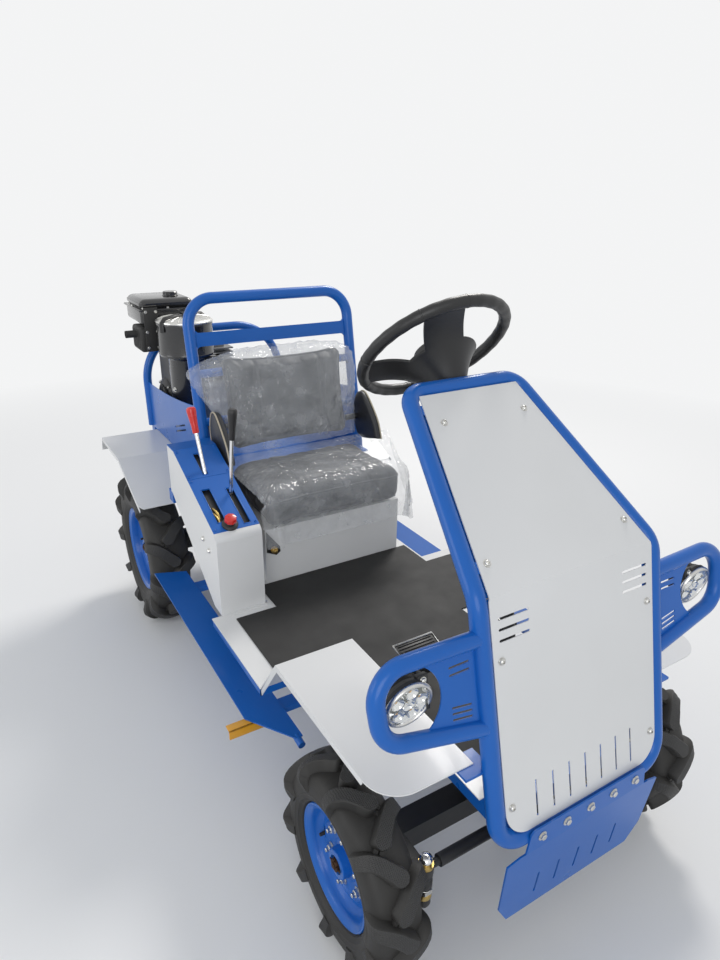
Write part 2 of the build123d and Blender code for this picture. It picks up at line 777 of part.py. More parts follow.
def on_column(distance, x=0):
    """Point a distance down the steering axis from the wheel's centre."""
    point = Vector(x, *wheel_centre) + column_dir * distance
    return (point.X, point.Y, point.Z)


column_tube = 32
column_start = 110
shaft_r = 9
shaft_end = 180
steer_box_z = 330
steer_shaft_r = 12
steer_shaft_top = 370
with BuildPart() as steering_column:
    column_path = [on_column(column_start), on_column(380), (0, front_axle_y, 640), (0, front_axle_y, 410)]
    bent_tube(column_path, 60, column_tube)
    top_face = Plane(origin=on_column(column_start - 1), x_dir=(1, 0, 0), z_dir=column_dir)
    with BuildSketch(top_face) as shaft_hole:
        Circle(shaft_r + running_gap)
    extrude(shaft_hole.sketch, amount=80, mode=Mode.SUBTRACT)
    block((-45, front_axle_y - 45, steer_box_z), (45, front_axle_y + 45, rail_low))
    block((-20, front_axle_y - 20, rail_low), (20, front_axle_y + 20, 430))
    shaft_bore = steer_shaft_r + running_gap
    upright(shaft_bore, 0, front_axle_y, steer_box_z - 5, steer_shaft_top + 10, Mode.SUBTRACT)
    add(cowl_frame.part, mode=Mode.SUBTRACT)
keep("steering_column", steering_column)

# Pedals on the floor
with BuildPart() as pedals:
    for x in (-150, 120):
        block((x - 6, -700, floor_top + 4), (x + 6, -690, 560))
        block((x - 35, -712, 540), (x + 35, -700, 600))
keep("pedals", pedals)

# Drawbar: clevis behind the rear cross member, its pin hole clear behind the deck and the arch
hitch_y = 1108
hitch_r = 11
clevis_half = 35
clevis_wall = 12
clevis_end = 1126
with BuildPart() as drawbar:
    plate_half = clevis_half + 10
    block((-plate_half, rail_rear_y, rail_low - 16), (plate_half, rail_rear_y + clevis_wall, rail_top))
    for z in (rail_low, rail_top - clevis_wall):
        block((-clevis_half, rail_rear_y, z), (clevis_half, clevis_end, z + clevis_wall))
    upright(hitch_r, 0, hitch_y, rail_low - 1, rail_top + 1, Mode.SUBTRACT)
keep("drawbar", drawbar)

# Steering wheel: ring, three broad spokes a quarter turn apart, deep hub shell and shaft
wheel_ring_r = 180
ring_r = 14
spoke_turns = (68, 158, 248)
hub_shell = ((0, 0), (0, 56), (-34, 72), (-50, 66), (-92, 43), (-104, 40), (-104, 0))
with BuildPart() as steering_wheel:
    wheel_plane = Plane(origin=on_column(0), x_dir=(1, 0, 0), z_dir=-column_dir)
    grip_plane = Plane(origin=on_column(0, wheel_ring_r), x_dir=(1, 0, 0), z_dir=wheel_plane.y_dir)
    with BuildSketch(grip_plane) as grip:
        RegularPolygon(ring_r, 8)
    revolve(grip.sketch, axis=Axis(on_column(0), wheel_plane.z_dir))
    hub_plane = Plane(origin=on_column(0), x_dir=wheel_plane.z_dir, z_dir=-wheel_plane.x_dir)
    with BuildSketch(hub_plane) as hub_outline:
        with BuildLine():
            Polyline(*hub_shell, close=True)
        make_face()
    revolve(hub_outline.sketch, axis=Axis(on_column(0), wheel_plane.z_dir))
    with BuildSketch(wheel_plane.offset(-shaft_end)) as shaft:
        Circle(shaft_r)
    extrude(shaft.sketch, amount=shaft_end - 90)
    for turn in spoke_turns:
        run = Vector(1, 0, 0).rotate(Axis.Z, turn)
        spoke_dir = wheel_plane.x_dir * run.X + wheel_plane.y_dir * run.Y
        spoke_side = wheel_plane.z_dir.cross(spoke_dir) * -1
        spoke_plane = Plane(origin=on_column(0), x_dir=spoke_dir, z_dir=spoke_side)
        with BuildSketch(spoke_plane.offset(-34)) as spoke:
            with BuildLine():
                spoke_end = wheel_ring_r - 8
                Polyline((40, -4), (spoke_end, 4), (spoke_end, -6), (110, -12), (40, -34), close=True)
            make_face()
        extrude(spoke.sketch, amount=68)
keep("steering_wheel", steering_wheel)

# Knuckles: fork, kingpin, spindle and steering arm, one at each end of the front axle
arm_low = barrel_high + 5
arm_high = arm_low + 12
stud_y = front_axle_y - steer_arm
spindle_r = 15


def arm_plate(x):
    """Steering arm plate from an upright pivot forward to the stud."""
    block((x - 15, stud_y, arm_low), (x + 15, front_axle_y, arm_high))
    upright(15, x, stud_y, arm_low, arm_high)
    upright(6, x, stud_y, arm_high, arm_high + 28)


for side, side_name in ((-1, "right"), (1, "left")):
    with BuildPart() as knuckle:
        pin_x = side * kingpin_x
        upright(kingpin_r, pin_x, front_axle_y, barrel_low - 15, arm_high)
        arm_plate(pin_x)
        for z_low, z_high in ((barrel_low - 17, barrel_low - 5), (arm_low, arm_high)):
            upright(24, pin_x, front_axle_y, z_low, z_high)
            low, high = sorted((pin_x, side * 374))
            block((low, front_axle_y - 24, z_low), (high, front_axle_y + 24, z_high))
        low, high = sorted((side * 362, side * 374))
        block((low, front_axle_y - 24, barrel_low - 17), (high, front_axle_y + 24, arm_high))
        low, high = sorted((side * 374, side * 444))
        along_x(spindle_r, low, high, front_axle_y, front_tyre_r)
    keep(f"knuckle_{side_name}", knuckle)

# Drop arm under the steering box
with BuildPart() as drop_arm:
    arm_plate(0)
    upright(20, 0, front_axle_y, arm_low, arm_high)
    upright(steer_shaft_r, 0, front_axle_y, arm_low, steer_shaft_top)
keep("drop_arm", drop_arm)

# Tie rod with an eye over each stud
eye_low = arm_high + 5
eye_high = eye_low + 18
with BuildPart() as tie_rod:
    along_x(9, -kingpin_x, kingpin_x, stud_y, (eye_low + eye_high) / 2)
    for x in (-kingpin_x, 0, kingpin_x):
        upright(14, x, stud_y, eye_low, eye_high)
    for x in (-kingpin_x, 0, kingpin_x):
        upright(6 + running_gap, x, stud_y, eye_low - 1, eye_high + 1, Mode.SUBTRACT)
keep("tie_rod", tie_rod)

# Wheels: dished rim with its hub, and the tyre on the rim
front_wheel = dict(y=front_axle_y, tyre_r=front_tyre_r, bead_r=127, flange_r=139, half=65)
front_wheel |= dict(rim_half=44, bore_r=15.05, lugs=10, nose_turn=16.6)
rear_wheel = dict(y=rear_axle_y, tyre_r=rear_tyre_r, bead_r=152, flange_r=166, half=78)
rear_wheel |= dict(rim_half=54, bore_r=18, lugs=11, nose_turn=12)
wheel_kinds = {"front": front_wheel, "rear": rear_wheel}
hub_r = 34


def rim_profile(kind):
    """Closed (outboard, radius) outline of flanges, barrel, disc and hub shell."""
    half, bead, flange, bore = kind["rim_half"], kind["bead_r"], kind["flange_r"], kind["bore_r"]
    outer_side = [(half - 5, bead), (half - 5, flange), (half, flange), (half - 1, bead - 4)]
    dish = [(22, bead - 5), (18, bead - 24), (8, bead - 40), (8, hub_r)]
    hub = [(30, hub_r), (30, 0), (25, 0), (25, bore), (-45, bore), (-45, hub_r)]
    dish_back = [(2, hub_r), (2, bead - 44), (12, bead - 28), (14, bead - 5)]
    inner_side = [(-half + 1, bead - 4), (-half, flange), (-half + 5, flange), (-half + 5, bead)]
    return outer_side + dish + hub + dish_back + inner_side


# A lug's outline: (share of the tyre's half width outboard, share of its radius round the tread)
lug_outline = (
    (1.03, -0.180), (0.50, -0.140), (-0.16, 0.065), (-0.16, 0.135),
    (0.02, 0.180), (0.60, -0.010), (1.03, -0.060),
)
lug_nose = 4


def facets(centre, side, at, radius, count):
    """Regular outline of a casing section, a distance outboard of the wheel's middle."""
    x, y, z = centre
    with BuildSketch(Plane(origin=(x + side * at, y, z), x_dir=(0, 1, 0), z_dir=(1, 0, 0))) as ring:
        RegularPolygon(radius, count, major_radius=False)
    return ring.sketch


def build_tyre(kind, centre, side):
    """Faceted casing with an outer and an inner row of lugs whose noses lead towards the front."""
    half, radius, seat = kind["half"], kind["tyre_r"], kind["rim_half"] - 5
    casing_sides = 2 * kind["lugs"]
    low, crown = kind["flange_r"] + (radius - kind["flange_r"]) * 0.5, radius * 0.86
    sections = ((-half + 8, low), (-half + 15, crown), (half - 15, crown), (half - 8, low))
    loft([facets(centre, side, at, reach, casing_sides) for at, reach in sections], ruled=True)
    lug_top = radius * (1 - lug_outline[0][1] ** 2) ** 0.5
    for row, shift in ((1, 0), (-1, 0.5)):
        for k in range(kind["lugs"]):
            nose = kind["nose_turn"] + 360 / kind["lugs"] * (k + shift)
            turn = radians(nose) - lug_outline[lug_nose][1]
            out = Vector(0, -sin(turn), cos(turn))
            origin = Vector(*centre) + out * low
            with BuildSketch(Plane(origin=origin, x_dir=(side * row, 0, 0), z_dir=out)) as lug:
                with BuildLine():
                    Polyline(*[(s * half, -side * row * c * radius) for s, c in lug_outline], close=True)
                make_face()
            extrude(lug.sketch, amount=lug_top - low)
    for hand in (-1, 1):
        hollow = facets(centre, hand, seat, kind["flange_r"] + 1, casing_sides)
        extrude(hollow, amount=hand * half, mode=Mode.SUBTRACT)
    extrude(facets(centre, 1, -half, kind["bead_r"], casing_sides), amount=2 * half, mode=Mode.SUBTRACT)


for end, kind in wheel_kinds.items():
    for side, side_name in ((-1, "right"), (1, "left")):
        centre = (side * wheel_x, kind["y"], kind["tyre_r"])
        with BuildPart() as rim:
            turned(rim_profile(kind), centre)
            if end == "rear":
                low, high = sorted((side * (tube_end - 100), side * (wheel_x + 26)))
                along_x(axle_bore_r, low, high, kind["y"], kind["tyre_r"])
        keep(f"rim_{end}_{side_name}", rim)
        with BuildPart() as tyre:
            build_tyre(kind, centre, side)
        keep(f"tyre_{end}_{side_name}", tyre)
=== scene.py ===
from math import acos, atan2, copysign, cos, degrees, hypot, pi, radians, sin, sqrt

import bmesh
import bpy
from mathutils import Matrix, Vector
from mathutils import noise as mist
from mathutils.bvhtree import BVHTree


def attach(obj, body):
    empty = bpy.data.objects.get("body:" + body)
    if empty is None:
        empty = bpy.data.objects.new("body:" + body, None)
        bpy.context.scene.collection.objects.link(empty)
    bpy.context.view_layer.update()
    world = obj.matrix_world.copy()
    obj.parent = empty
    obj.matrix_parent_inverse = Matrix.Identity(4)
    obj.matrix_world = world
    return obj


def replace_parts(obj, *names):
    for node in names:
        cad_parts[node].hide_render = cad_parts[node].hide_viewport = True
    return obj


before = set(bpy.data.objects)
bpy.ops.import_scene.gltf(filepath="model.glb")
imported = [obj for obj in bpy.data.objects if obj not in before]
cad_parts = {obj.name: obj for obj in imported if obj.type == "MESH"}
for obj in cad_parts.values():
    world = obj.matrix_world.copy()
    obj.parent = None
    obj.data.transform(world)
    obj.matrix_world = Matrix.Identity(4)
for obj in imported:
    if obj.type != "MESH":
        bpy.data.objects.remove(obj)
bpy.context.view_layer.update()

scene = bpy.context.scene
MM = 0.001
sides = ((-1, "right"), (1, "left"))


# Finishes
def node(tree, kind, inputs=(), **settings):
    """Node with its settings, and its inputs given as (socket, value or output) pairs."""
    made = tree.nodes.new("ShaderNode" + kind)
    for setting, value in settings.items():
        setattr(made, setting, value)
    for socket, value in inputs:
        if isinstance(value, bpy.types.NodeSocket):
            tree.links.new(value, made.inputs[socket])
        else:
            made.inputs[socket].default_value = value
    return made


def ramp(tree, source, low, high):
    """Mix two colours by a 0 to 1 value."""
    inputs = (("A", (*low, 1)), ("B", (*high, 1)), ("Factor", source))
    return node(tree, "Mix", inputs, data_type="RGBA").outputs["Result"]


def spread(tree, source, low, high):
    """Map a 0 to 1 value onto a range."""
    return node(tree, "MapRange", (("To Min", low), ("To Max", high), ("Value", source))).outputs["Result"]


def noise(tree, scale, detail=3.0, stretch=(1, 1, 1)):
    """Noise fixed to the piece."""
    place = node(tree, "TexCoord").outputs["Object"]
    size = node(tree, "Mapping", (("Scale", stretch), ("Vector", place))).outputs["Vector"]
    return node(tree, "TexNoise", (("Scale", scale), ("Detail", detail), ("Vector", size))).outputs["Fac"]


def raise_surface(tree, height, depth):
    """Bump of a depth in metres."""
    return node(tree, "Bump", (("Distance", depth), ("Height", height))).outputs["Normal"]


def finish(name, low, high, patch, rough, grain, depth, metal=0.0, coat=0.0, specular=0.5):
    """Two-tone shader with uneven gloss and a fine grain."""
    made = bpy.data.materials.new(name)
    made.use_nodes = True
    tree = made.node_tree
    shader = tree.nodes["Principled BSDF"]
    tree.links.new(ramp(tree, noise(tree, patch), low, high), shader.inputs["Base Color"])
    tree.links.new(spread(tree, noise(tree, patch * 2.3), *rough), shader.inputs["Roughness"])
    tree.links.new(raise_surface(tree, noise(tree, grain, 4.0), depth), shader.inputs["Normal"])
    values = {"Metallic": metal, "Coat Weight": coat, "Coat Roughness": 0.08, "Specular IOR Level": specular}
    for socket, value in values.items():
        shader.inputs[socket].default_value = value
    return made


blue = finish("blue_paint", (0.006, 0.105, 0.43), (0.01, 0.13, 0.5), 5, (0.24, 0.36), 900, 4e-5,
              coat=0.1, specular=0.32)
white = finish("white_powder", (0.7, 0.7, 0.69), (0.76, 0.76, 0.755), 4, (0.3, 0.42), 1300, 4e-5, coat=0.15)
black = finish("black_steel", (0.01, 0.01, 0.011), (0.022, 0.022, 0.022), 9, (0.35, 0.55), 700, 6e-5)
casting = finish("black_casting", (0.012, 0.012, 0.012), (0.03, 0.029, 0.027), 14, (0.5, 0.75), 420, 0.0004)
alloy = finish("engine_casting", (0.2, 0.2, 0.2), (0.34, 0.34, 0.33), 14, (0.4, 0.6), 600, 0.0002, metal=0.8)
zinc = finish("bright_steel", (0.52, 0.52, 0.5), (0.72, 0.71, 0.68), 40, (0.2, 0.38), 900, 3e-5, metal=1.0)
chrome = finish("chrome", (0.8, 0.8, 0.8), (0.88, 0.88, 0.88), 20, (0.05, 0.12), 500, 1e-5, metal=1.0)
brass = finish("brass", (0.48, 0.33, 0.1), (0.66, 0.48, 0.18), 30, (0.25, 0.45), 900, 3e-5, metal=1.0)
plastic = finish("dark_plastic", (0.014, 0.014, 0.015), (0.024, 0.024, 0.025), 10, (0.38, 0.52), 1500, 8e-5)
wheel_skin = finish("wheel_plastic", (0.01, 0.01, 0.011), (0.018, 0.018, 0.018), 12, (0.34, 0.46), 1900, 1e-4)
mat_skin = finish("mat_rubber", (0.007, 0.007, 0.007), (0.012, 0.012, 0.012), 6, (0.55, 0.75), 1100, 0.0002)
belt_skin = finish("belt_rubber", (0.012, 0.012, 0.012), (0.025, 0.024, 0.023), 20, (0.6, 0.8), 900, 0.0001)
tyre_skin = finish("tyre_rubber", (0.012, 0.012, 0.012), (0.028, 0.026, 0.023), 7, (0.48, 0.72), 800, 0.00015)
cream = finish("cream_piping", (0.42, 0.36, 0.26), (0.58, 0.52, 0.4), 20, (0.4, 0.55), 900, 5e-5)
red = finish("red_plastic", (0.55, 0.012, 0.01), (0.68, 0.02, 0.014), 20, (0.22, 0.34), 900, 3e-5, coat=0.3)
yellow = finish("yellow_paint", (0.66, 0.3, 0.015), (0.78, 0.38, 0.02), 8, (0.3, 0.45), 900, 5e-5, coat=0.3)
vinyl = finish("seat_vinyl", (0.012, 0.013, 0.016), (0.03, 0.031, 0.036), 6, (0.34, 0.5), 900, 0.0002)
finned = finish("lamp_alloy", (0.55, 0.54, 0.52), (0.7, 0.69, 0.67), 20, (0.25, 0.4), 900, 5e-5, metal=1.0)
rusty = finish("hub_nut", (0.03, 0.02, 0.014), (0.1, 0.045, 0.018), 60, (0.45, 0.8), 700, 0.0002, metal=0.6)
tank_skin = finish("tank_paint", (0.012, 0.012, 0.013), (0.022, 0.022, 0.023), 8, (0.2, 0.32), 800, 4e-5,
                   coat=0.6)


def knurled(name):
    """Tyre rubber with the fine raised points of the lug tops."""
    made = finish(name, (0.02, 0.02, 0.021), (0.04, 0.039, 0.037), 9, (0.5, 0.7), 800, 0.0001)
    tree = made.node_tree
    shader = tree.nodes["Principled BSDF"]
    flat = node(tree, "UVMap", uv_map="tread").outputs["UV"]
    inputs = (("Scale", 270), ("Randomness", 0.15), ("Vector", flat))
    points = node(tree, "TexVoronoi", inputs, voronoi_dimensions="2D").outputs["Distance"]
    tree.links.new(raise_surface(tree, points, -0.0016), shader.inputs["Normal"])
    return made


lug_skin = knurled("tyre_lug_rubber")


def clear(name, tint, alpha, rough, index):
    """Thin clear sheet that shows what is behind it and glints."""
    made = finish(name, tint, tint, 30, rough, 260, 0.0004)
    shader = made.node_tree.nodes["Principled BSDF"]
    shader.inputs["Alpha"].default_value = alpha
    shader.inputs["IOR"].default_value = index
    return made


film = clear("clear_film", (0.8, 0.82, 0.84), 0.3, (0.05, 0.12), 2.0)
tree = film.node_tree
shader = tree.nodes["Principled BSDF"]
# painted highlight: patchy opacity lets the whitish tint show as white streaks that stand in for glints on
# the creased film
tree.links.new(spread(tree, noise(tree, 16, 4.0), 0.12, 0.46), shader.inputs["Alpha"])
folds = ((0, noise(tree, 20, 3.0, (1.0, 0.8, 0.45))), (1, 0.09))
ridges = node(tree, "Math", folds, operation="PINGPONG").outputs["Value"]
tree.links.new(raise_surface(tree, ridges, 0.03), shader.inputs["Normal"])
glass = clear("lamp_glass", (0.78, 0.82, 0.76), 0.22, (0.02, 0.04), 2.1)


# Mesh helpers: every outline is in millimetres
draft = bmesh.new()


def merge(part, place=None, into=None):
    """Move one bmesh into the draft, or into another, set down by a matrix."""
    if place is not None:
        bmesh.ops.transform(part, matrix=place, verts=part.verts)
        if place.determinant() < 0:
            bmesh.ops.reverse_faces(part, faces=part.faces)
    mesh = bpy.data.meshes.new("merge")
    part.to_mesh(mesh)
    part.free()
    (draft if into is None else into).from_mesh(mesh)
    bpy.data.meshes.remove(mesh)


def piece(name, skin, body="tractor", sharp=38):
    """Make a ridden object of the draft and begin the next; its slot comes from its first skin."""
    global draft
    skins_of_it = skin if isinstance(skin, list) else [skin]
    bmesh.ops.scale(draft, vec=(MM, MM, MM), verts=draft.verts)
    mesh = bpy.data.meshes.new(name)
    draft.to_mesh(mesh)
    draft.free()
    draft = bmesh.new()
    mesh.shade_smooth()
    mesh.set_sharp_from_angle(angle=radians(sharp))
    for one in skins_of_it:
        mesh.materials.append(one)
    obj = bpy.data.objects.new(name, mesh)
    scene.collection.objects.link(obj)
    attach(obj, body)
    return obj


def moved(x, y, z):
    """Matrix that shifts by three lengths."""
    return Matrix.Translation((x, y, z))


def turned(angle, axis):
    """Matrix that turns by degrees about an axis."""
    return Matrix.Rotation(radians(angle), 4, axis)


def aim(point, direction):
    """Matrix whose local Z points along a direction."""
    return Matrix.Translation(point) @ Vector(direction).to_track_quat("Z", "Y").to_matrix().to_4x4()


def join(part, rings, closed=False, skin=0, around=True):
    """Faces between neighbouring rings, where a ring may be a single point."""
    for a, b in list(zip(rings, rings[1:])) + [(rings[-1], rings[0])] * closed:
        count = max(len(a), len(b))
        for k in range(count if around else count - 1):
            n = (k + 1) % count
            corner = (a[k % len(a)], a[n % len(a)], b[n % len(b)], b[k % len(b)])
            corner = list(dict.fromkeys(corner))
            if len(corner) > 2:
                part.faces.new(corner).material_index = skin


def lathe(profile, place, steps=64, closed=False, skin=0, squeeze=None):
    """Revolve (distance, radius) points about local Z."""
    part = bmesh.new()
    rings = []
    for z, r in profile:
        ring = []
        for k in range(steps if r > 1e-6 else 1):
            t = 2 * pi * k / steps
            wide = squeeze(z, r, t) if squeeze and r > 1e-6 else r
            ring.append(part.verts.new((wide * cos(t), wide * sin(t), z)))
        rings.append(ring)
    join(part, rings, closed, skin)
    bmesh.ops.recalc_face_normals(part, faces=part.faces)
    merge(part, place)


def block(low, high, bevel=0.0, place=None, segments=2, skin=0, into=None):
    """Box with rounded edges between two corners."""
    part = bmesh.new()
    bmesh.ops.create_cube(part, size=1)
    for v in part.verts:
        v.co = Vector(a + (b - a) * (c + 0.5) for a, b, c in zip(low, high, v.co))
    if bevel:
        edges = list(part.edges)
        bmesh.ops.bevel(part, geom=edges, offset=bevel, segments=segments, profile=0.5, affect="EDGES")
    for face in part.faces:
        face.material_index = skin
    merge(part, place, into)


def slab(outline, low, high, place=None, bevel=0.0):
    """Plate of an (x, y) outline between two heights."""
    part = bmesh.new()
    ring = [part.verts.new((x, y, low)) for x, y in outline]
    face = part.faces.new(ring)
    lift = bmesh.ops.extrude_face_region(part, geom=[face])
    top = [v for v in lift["geom"] if isinstance(v, bmesh.types.BMVert)]
    bmesh.ops.translate(part, vec=(0, 0, high - low), verts=top)
    bmesh.ops.recalc_face_normals(part, faces=part.faces)
    if bevel:
        rims = [e for e in part.edges if abs(e.verts[0].co.z - e.verts[1].co.z) < 1e-6]
        bmesh.ops.bevel(part, geom=rims, offset=bevel, segments=2, profile=0.5, affect="EDGES")
    merge(part, place)


def bow(points, count):
    """Evenly parted points on a smooth line through given points."""
    ends = [2 * Vector(points[0]) - Vector(points[1])] + [Vector(p) for p in points]
    ends.append(2 * Vector(points[-1]) - Vector(points[-2]))
    found = []
    runs = len(points) - 1
    for k in range(count + 1):
        at = min(runs * k / count, runs - 1e-9)
        i = int(at)
        t = at - i
        a, b, c, d = ends[i:i + 4]
        square, cube = 2 * a - 5 * b + 4 * c - d, 3 * b - a - 3 * c + d
        found.append(0.5 * (2 * b + (c - a) * t + square * t * t + cube * t ** 3))
    return found


def sweep(points, radius, steps=16, closed=False, skin=0, flat=1.0):
    """Bar along points; radius is a number or one for each point, flat squeezes it along its second side."""
    part = bmesh.new()
    points = [Vector(p) for p in points]
    count = len(points)
    side = None
    rings = []
    for i, point in enumerate(points):
        before = points[i - 1] if i or closed else point
        after = points[(i + 1) % count] if i + 1 < count or closed else point
        run = (after - before).normalized()
        if side is None:
            side = run.orthogonal().normalized()
        side = (side - run * side.dot(run)).normalized()
        other = run.cross(side)
        r = radius[i] if isinstance(radius, (list, tuple)) else radius
        ring = []
        for k in range(steps):
            t = 2 * pi * k / steps
            ring.append(part.verts.new(point + side * r * cos(t) + other * r * flat * sin(t)))
        rings.append(ring)
    join(part, rings, closed, skin)
    if not closed:
        for ring in (rings[0], rings[-1]):
            part.faces.new(ring).material_index = skin
    bmesh.ops.recalc_face_normals(part, faces=part.faces)
    merge(part)


def washer_under(place, radius, thick, edge, skin):
    """Washer standing on local Z, where a radius is given; says its thickness."""
    if not radius:
        return 0.0
    rows = [(0, 0), (0, radius - edge), (edge, radius), (thick, radius), (thick, 0)]
    lathe(rows, place, 24, skin=skin)
    return thick


def hex_head(place, across, height, washer=0.0, skin=0):
    """Six-sided head or nut on a washer, standing on local Z."""
    base = washer_under(place, washer, 1.4, 0.4, skin)
    r = across / sqrt(3)
    top = base + height
    lathe([(base, r), (top - 1, r), (top, r * 0.86), (top, 0)], place, 6, skin=skin)


def hex_heads(spots, out, across, height, washer=0.0):
    """Six-sided heads at several points, all standing along one direction."""
    for spot in spots:
        hex_head(aim(spot, out), across, height, washer)


def button_head(place, radius, height, washer=0.0):
    """Domed screw head with a socket, on a washer."""
    base = washer_under(place, washer, 1.2, 0.3, 0)
    dome = [(base, radius)]
    for k in range(1, 5):
        t = k / 5 * pi / 2
        dome.append((base + height * sin(t), radius * (0.42 + 0.58 * cos(t))))
    dome += [(base + height, radius * 0.42), (base + height * 0.4, radius * 0.38), (base + height * 0.4, 0)]
    lathe(dome, place, 24)


def placed(place, points):
    """Points set down by a matrix."""
    return [place @ Vector(p) for p in points]


def plain_rays(tree):
    """1 for the rays that see the plain background: camera, glossy and transmission."""
    seen = node(tree, "LightPath").outputs
    total = seen["Is Camera Ray"]
    for kind in ("Is Glossy Ray", "Is Transmission Ray"):
        total = node(tree, "Math", ((0, total), (1, seen[kind])), operation="MAXIMUM").outputs["Value"]
    return total


# Camera, floor and light
# the photograph's view, solved from its straight edges and its wheels
yaw, pitch, roll = radians(31.3), radians(22.58), radians(0.77)
ahead = Vector((sin(yaw) * cos(pitch), cos(yaw) * cos(pitch), -sin(pitch)))
across = Vector((cos(yaw), -sin(yaw), 0))
upward = across.cross(ahead)
camera = bpy.data.objects.new("camera", bpy.data.cameras.new("camera"))
scene.collection.objects.link(camera)
camera.data.lens = 25.4
camera.data.sensor_width = 36
level = across * cos(roll) + upward * sin(roll)
rise = upward * cos(roll) - across * sin(roll)
camera.matrix_world = moved(-0.979, -1.776, 1.611) @ Matrix((level, rise, -ahead)).transposed().to_4x4()
scene.camera = camera
scene.view_settings.view_transform = "Standard"

backdrop = (0.90, 0.905, 0.91, 1)
reach = 14.0
floor_mesh = bpy.data.meshes.new("floor")
corners = [(-reach, -reach, 0), (reach, -reach, 0), (reach, reach, 0), (-reach, reach, 0)]
floor_mesh.from_pydata(corners, [], [(0, 1, 2, 3)])
floor = bpy.data.objects.new("floor", floor_mesh)
scene.collection.objects.link(floor)
pale = finish("floor_pale", (0.84, 0.84, 0.835), (0.86, 0.86, 0.855), 1, (0.8, 0.9), 60, 0.0002)
tree = pale.node_tree
spot = node(tree, "NewGeometry").outputs["Position"]
far = node(tree, "VectorMath", ((0, spot),), operation="LENGTH").outputs["Value"]
fade = node(tree, "MapRange", (("From Min", 1.6), ("From Max", 5.0), ("Value", far))).outputs["Result"]
both = node(tree, "Math", ((0, plain_rays(tree)), (1, fade)), operation="MULTIPLY").outputs["Value"]
even = node(tree, "Emission", (("Color", backdrop),)).outputs["Emission"]
near = tree.nodes["Principled BSDF"].outputs["BSDF"]
blend = node(tree, "MixShader", (("Fac", both), (1, near), (2, even))).outputs["Shader"]
tree.links.new(blend, tree.nodes["Material Output"].inputs["Surface"])
floor_mesh.materials.append(pale)

world = bpy.data.worlds.new("studio")
scene.world = world
world.use_nodes = True
sky = world.node_tree
plain = node(sky, "Background", (("Color", backdrop),)).outputs["Background"]
lit = sky.nodes["Background"]
lit.inputs["Color"].default_value = (0.92, 0.95, 1.0, 1)
lit.inputs["Strength"].default_value = 0.55
pick = node(sky, "MixShader", (("Fac", plain_rays(sky)), (1, lit.outputs["Background"]), (2, plain)))
sky.links.new(pick.outputs["Shader"], sky.nodes["World Output"].inputs["Surface"])

lamps = (
    # name, place, size, watts, colour
    ("key", (2.6, 2.0, 4.2), 1.4, 120, (1.0, 0.97, 0.93)),
    ("front_fill", (-2.4, -4.0, 2.6), 3.0, 62, (0.96, 0.98, 1.0)),
    ("left_fill", (-4.2, 1.0, 2.2), 2.4, 30, (0.96, 0.98, 1.0)),
)
for name, place, size, watts, colour in lamps:
    light = bpy.data.lights.new(name, "AREA")
    light.shape = "DISK"
    light.size = size
    light.energy = watts
    light.color = colour
    lamp = bpy.data.objects.new(name, light)
    scene.collection.objects.link(lamp)
    lamp.matrix_world = aim(place, Vector(place) - Vector((0, 0, 0.6)))

# Materials of the pieces that keep their source shape
skins = {
    "blue_frame": blue, "white_sheet": white, "black_steel": black, "black_casting": casting,
    "engine_casting": alloy, "bright_steel": zinc, "dark_plastic": plastic, "wheel_plastic": wheel_skin,
    "mat_rubber": mat_skin, "belt_rubber": belt_skin, "tyre_rubber": tyre_skin, "lamp_body": finned,
    "seat_cover": vinyl,
}
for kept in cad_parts.values():
    for held in kept.material_slots:
        kind = next((key for key in skins if held.material and held.material.name.startswith(key)), None)
        if kind:
            held.material = skins[kind]

# Shared places, in millimetres
front_y, rear_y, wheel_x = -845, 735, 425
cowl_points = ((238, -1103, 425), (243, -984, 932), (154, -608, 1222))


def run_place(low, high):
    """Matrix along a straight cowl run: X across, Y up the run, Z out of the front."""
    up = Vector((0, high[1] - low[1], high[2] - low[2])).normalized()
    out = Vector((1, 0, 0)).cross(up)
    return moved(0, low[1], low[2]) @ Matrix((Vector((1, 0, 0)), up, out)).transposed().to_4x4()


side_on = Matrix(((0, 0, 1, 0), (1, 0, 0, 0), (0, 1, 0, 0), (0, 0, 0, 1)))
lower_run = run_place(cowl_points[0], cowl_points[1])
upper_run = run_place(cowl_points[1], cowl_points[2])

# Tyres: a lathed casing and two rows of lofted lugs
tyre_kinds = {
    # casing is (outboard, radius); path is (across the tread, round the tread, half width, height)
    "front": dict(
        y=front_y, radius=240, lugs=10, first=16.6, flange=139, rim_half=44, bead=127,
        casing=((0, 215), (24, 214), (42, 210), (52, 202), (57, 190),
                (59, 174), (57, 158), (51, 147), (43, 140), (39, 132)),
        path=((88, -6, 16, 3), (72, -5, 17, 10), (58, -2, 16, 19), (44, 4, 15, 24),
              (26, 20, 15, 25), (10, 40, 16, 25), (-4, 58, 18, 25)),
    ),
    "rear": dict(
        y=rear_y, radius=300, lugs=11, first=12.0, flange=166, rim_half=54, bead=152,
        casing=((0, 271), (30, 270), (52, 265), (64, 255), (70, 240),
                (72, 218), (70, 196), (63, 180), (53, 168), (48, 158)),
        path=((112, -8, 18, 3), (92, -7, 19, 11), (73, -3, 18, 21), (56, 5, 17, 28),
              (34, 24, 17, 29), (14, 48, 18, 29), (-4, 70, 21, 29)),
    ),
}


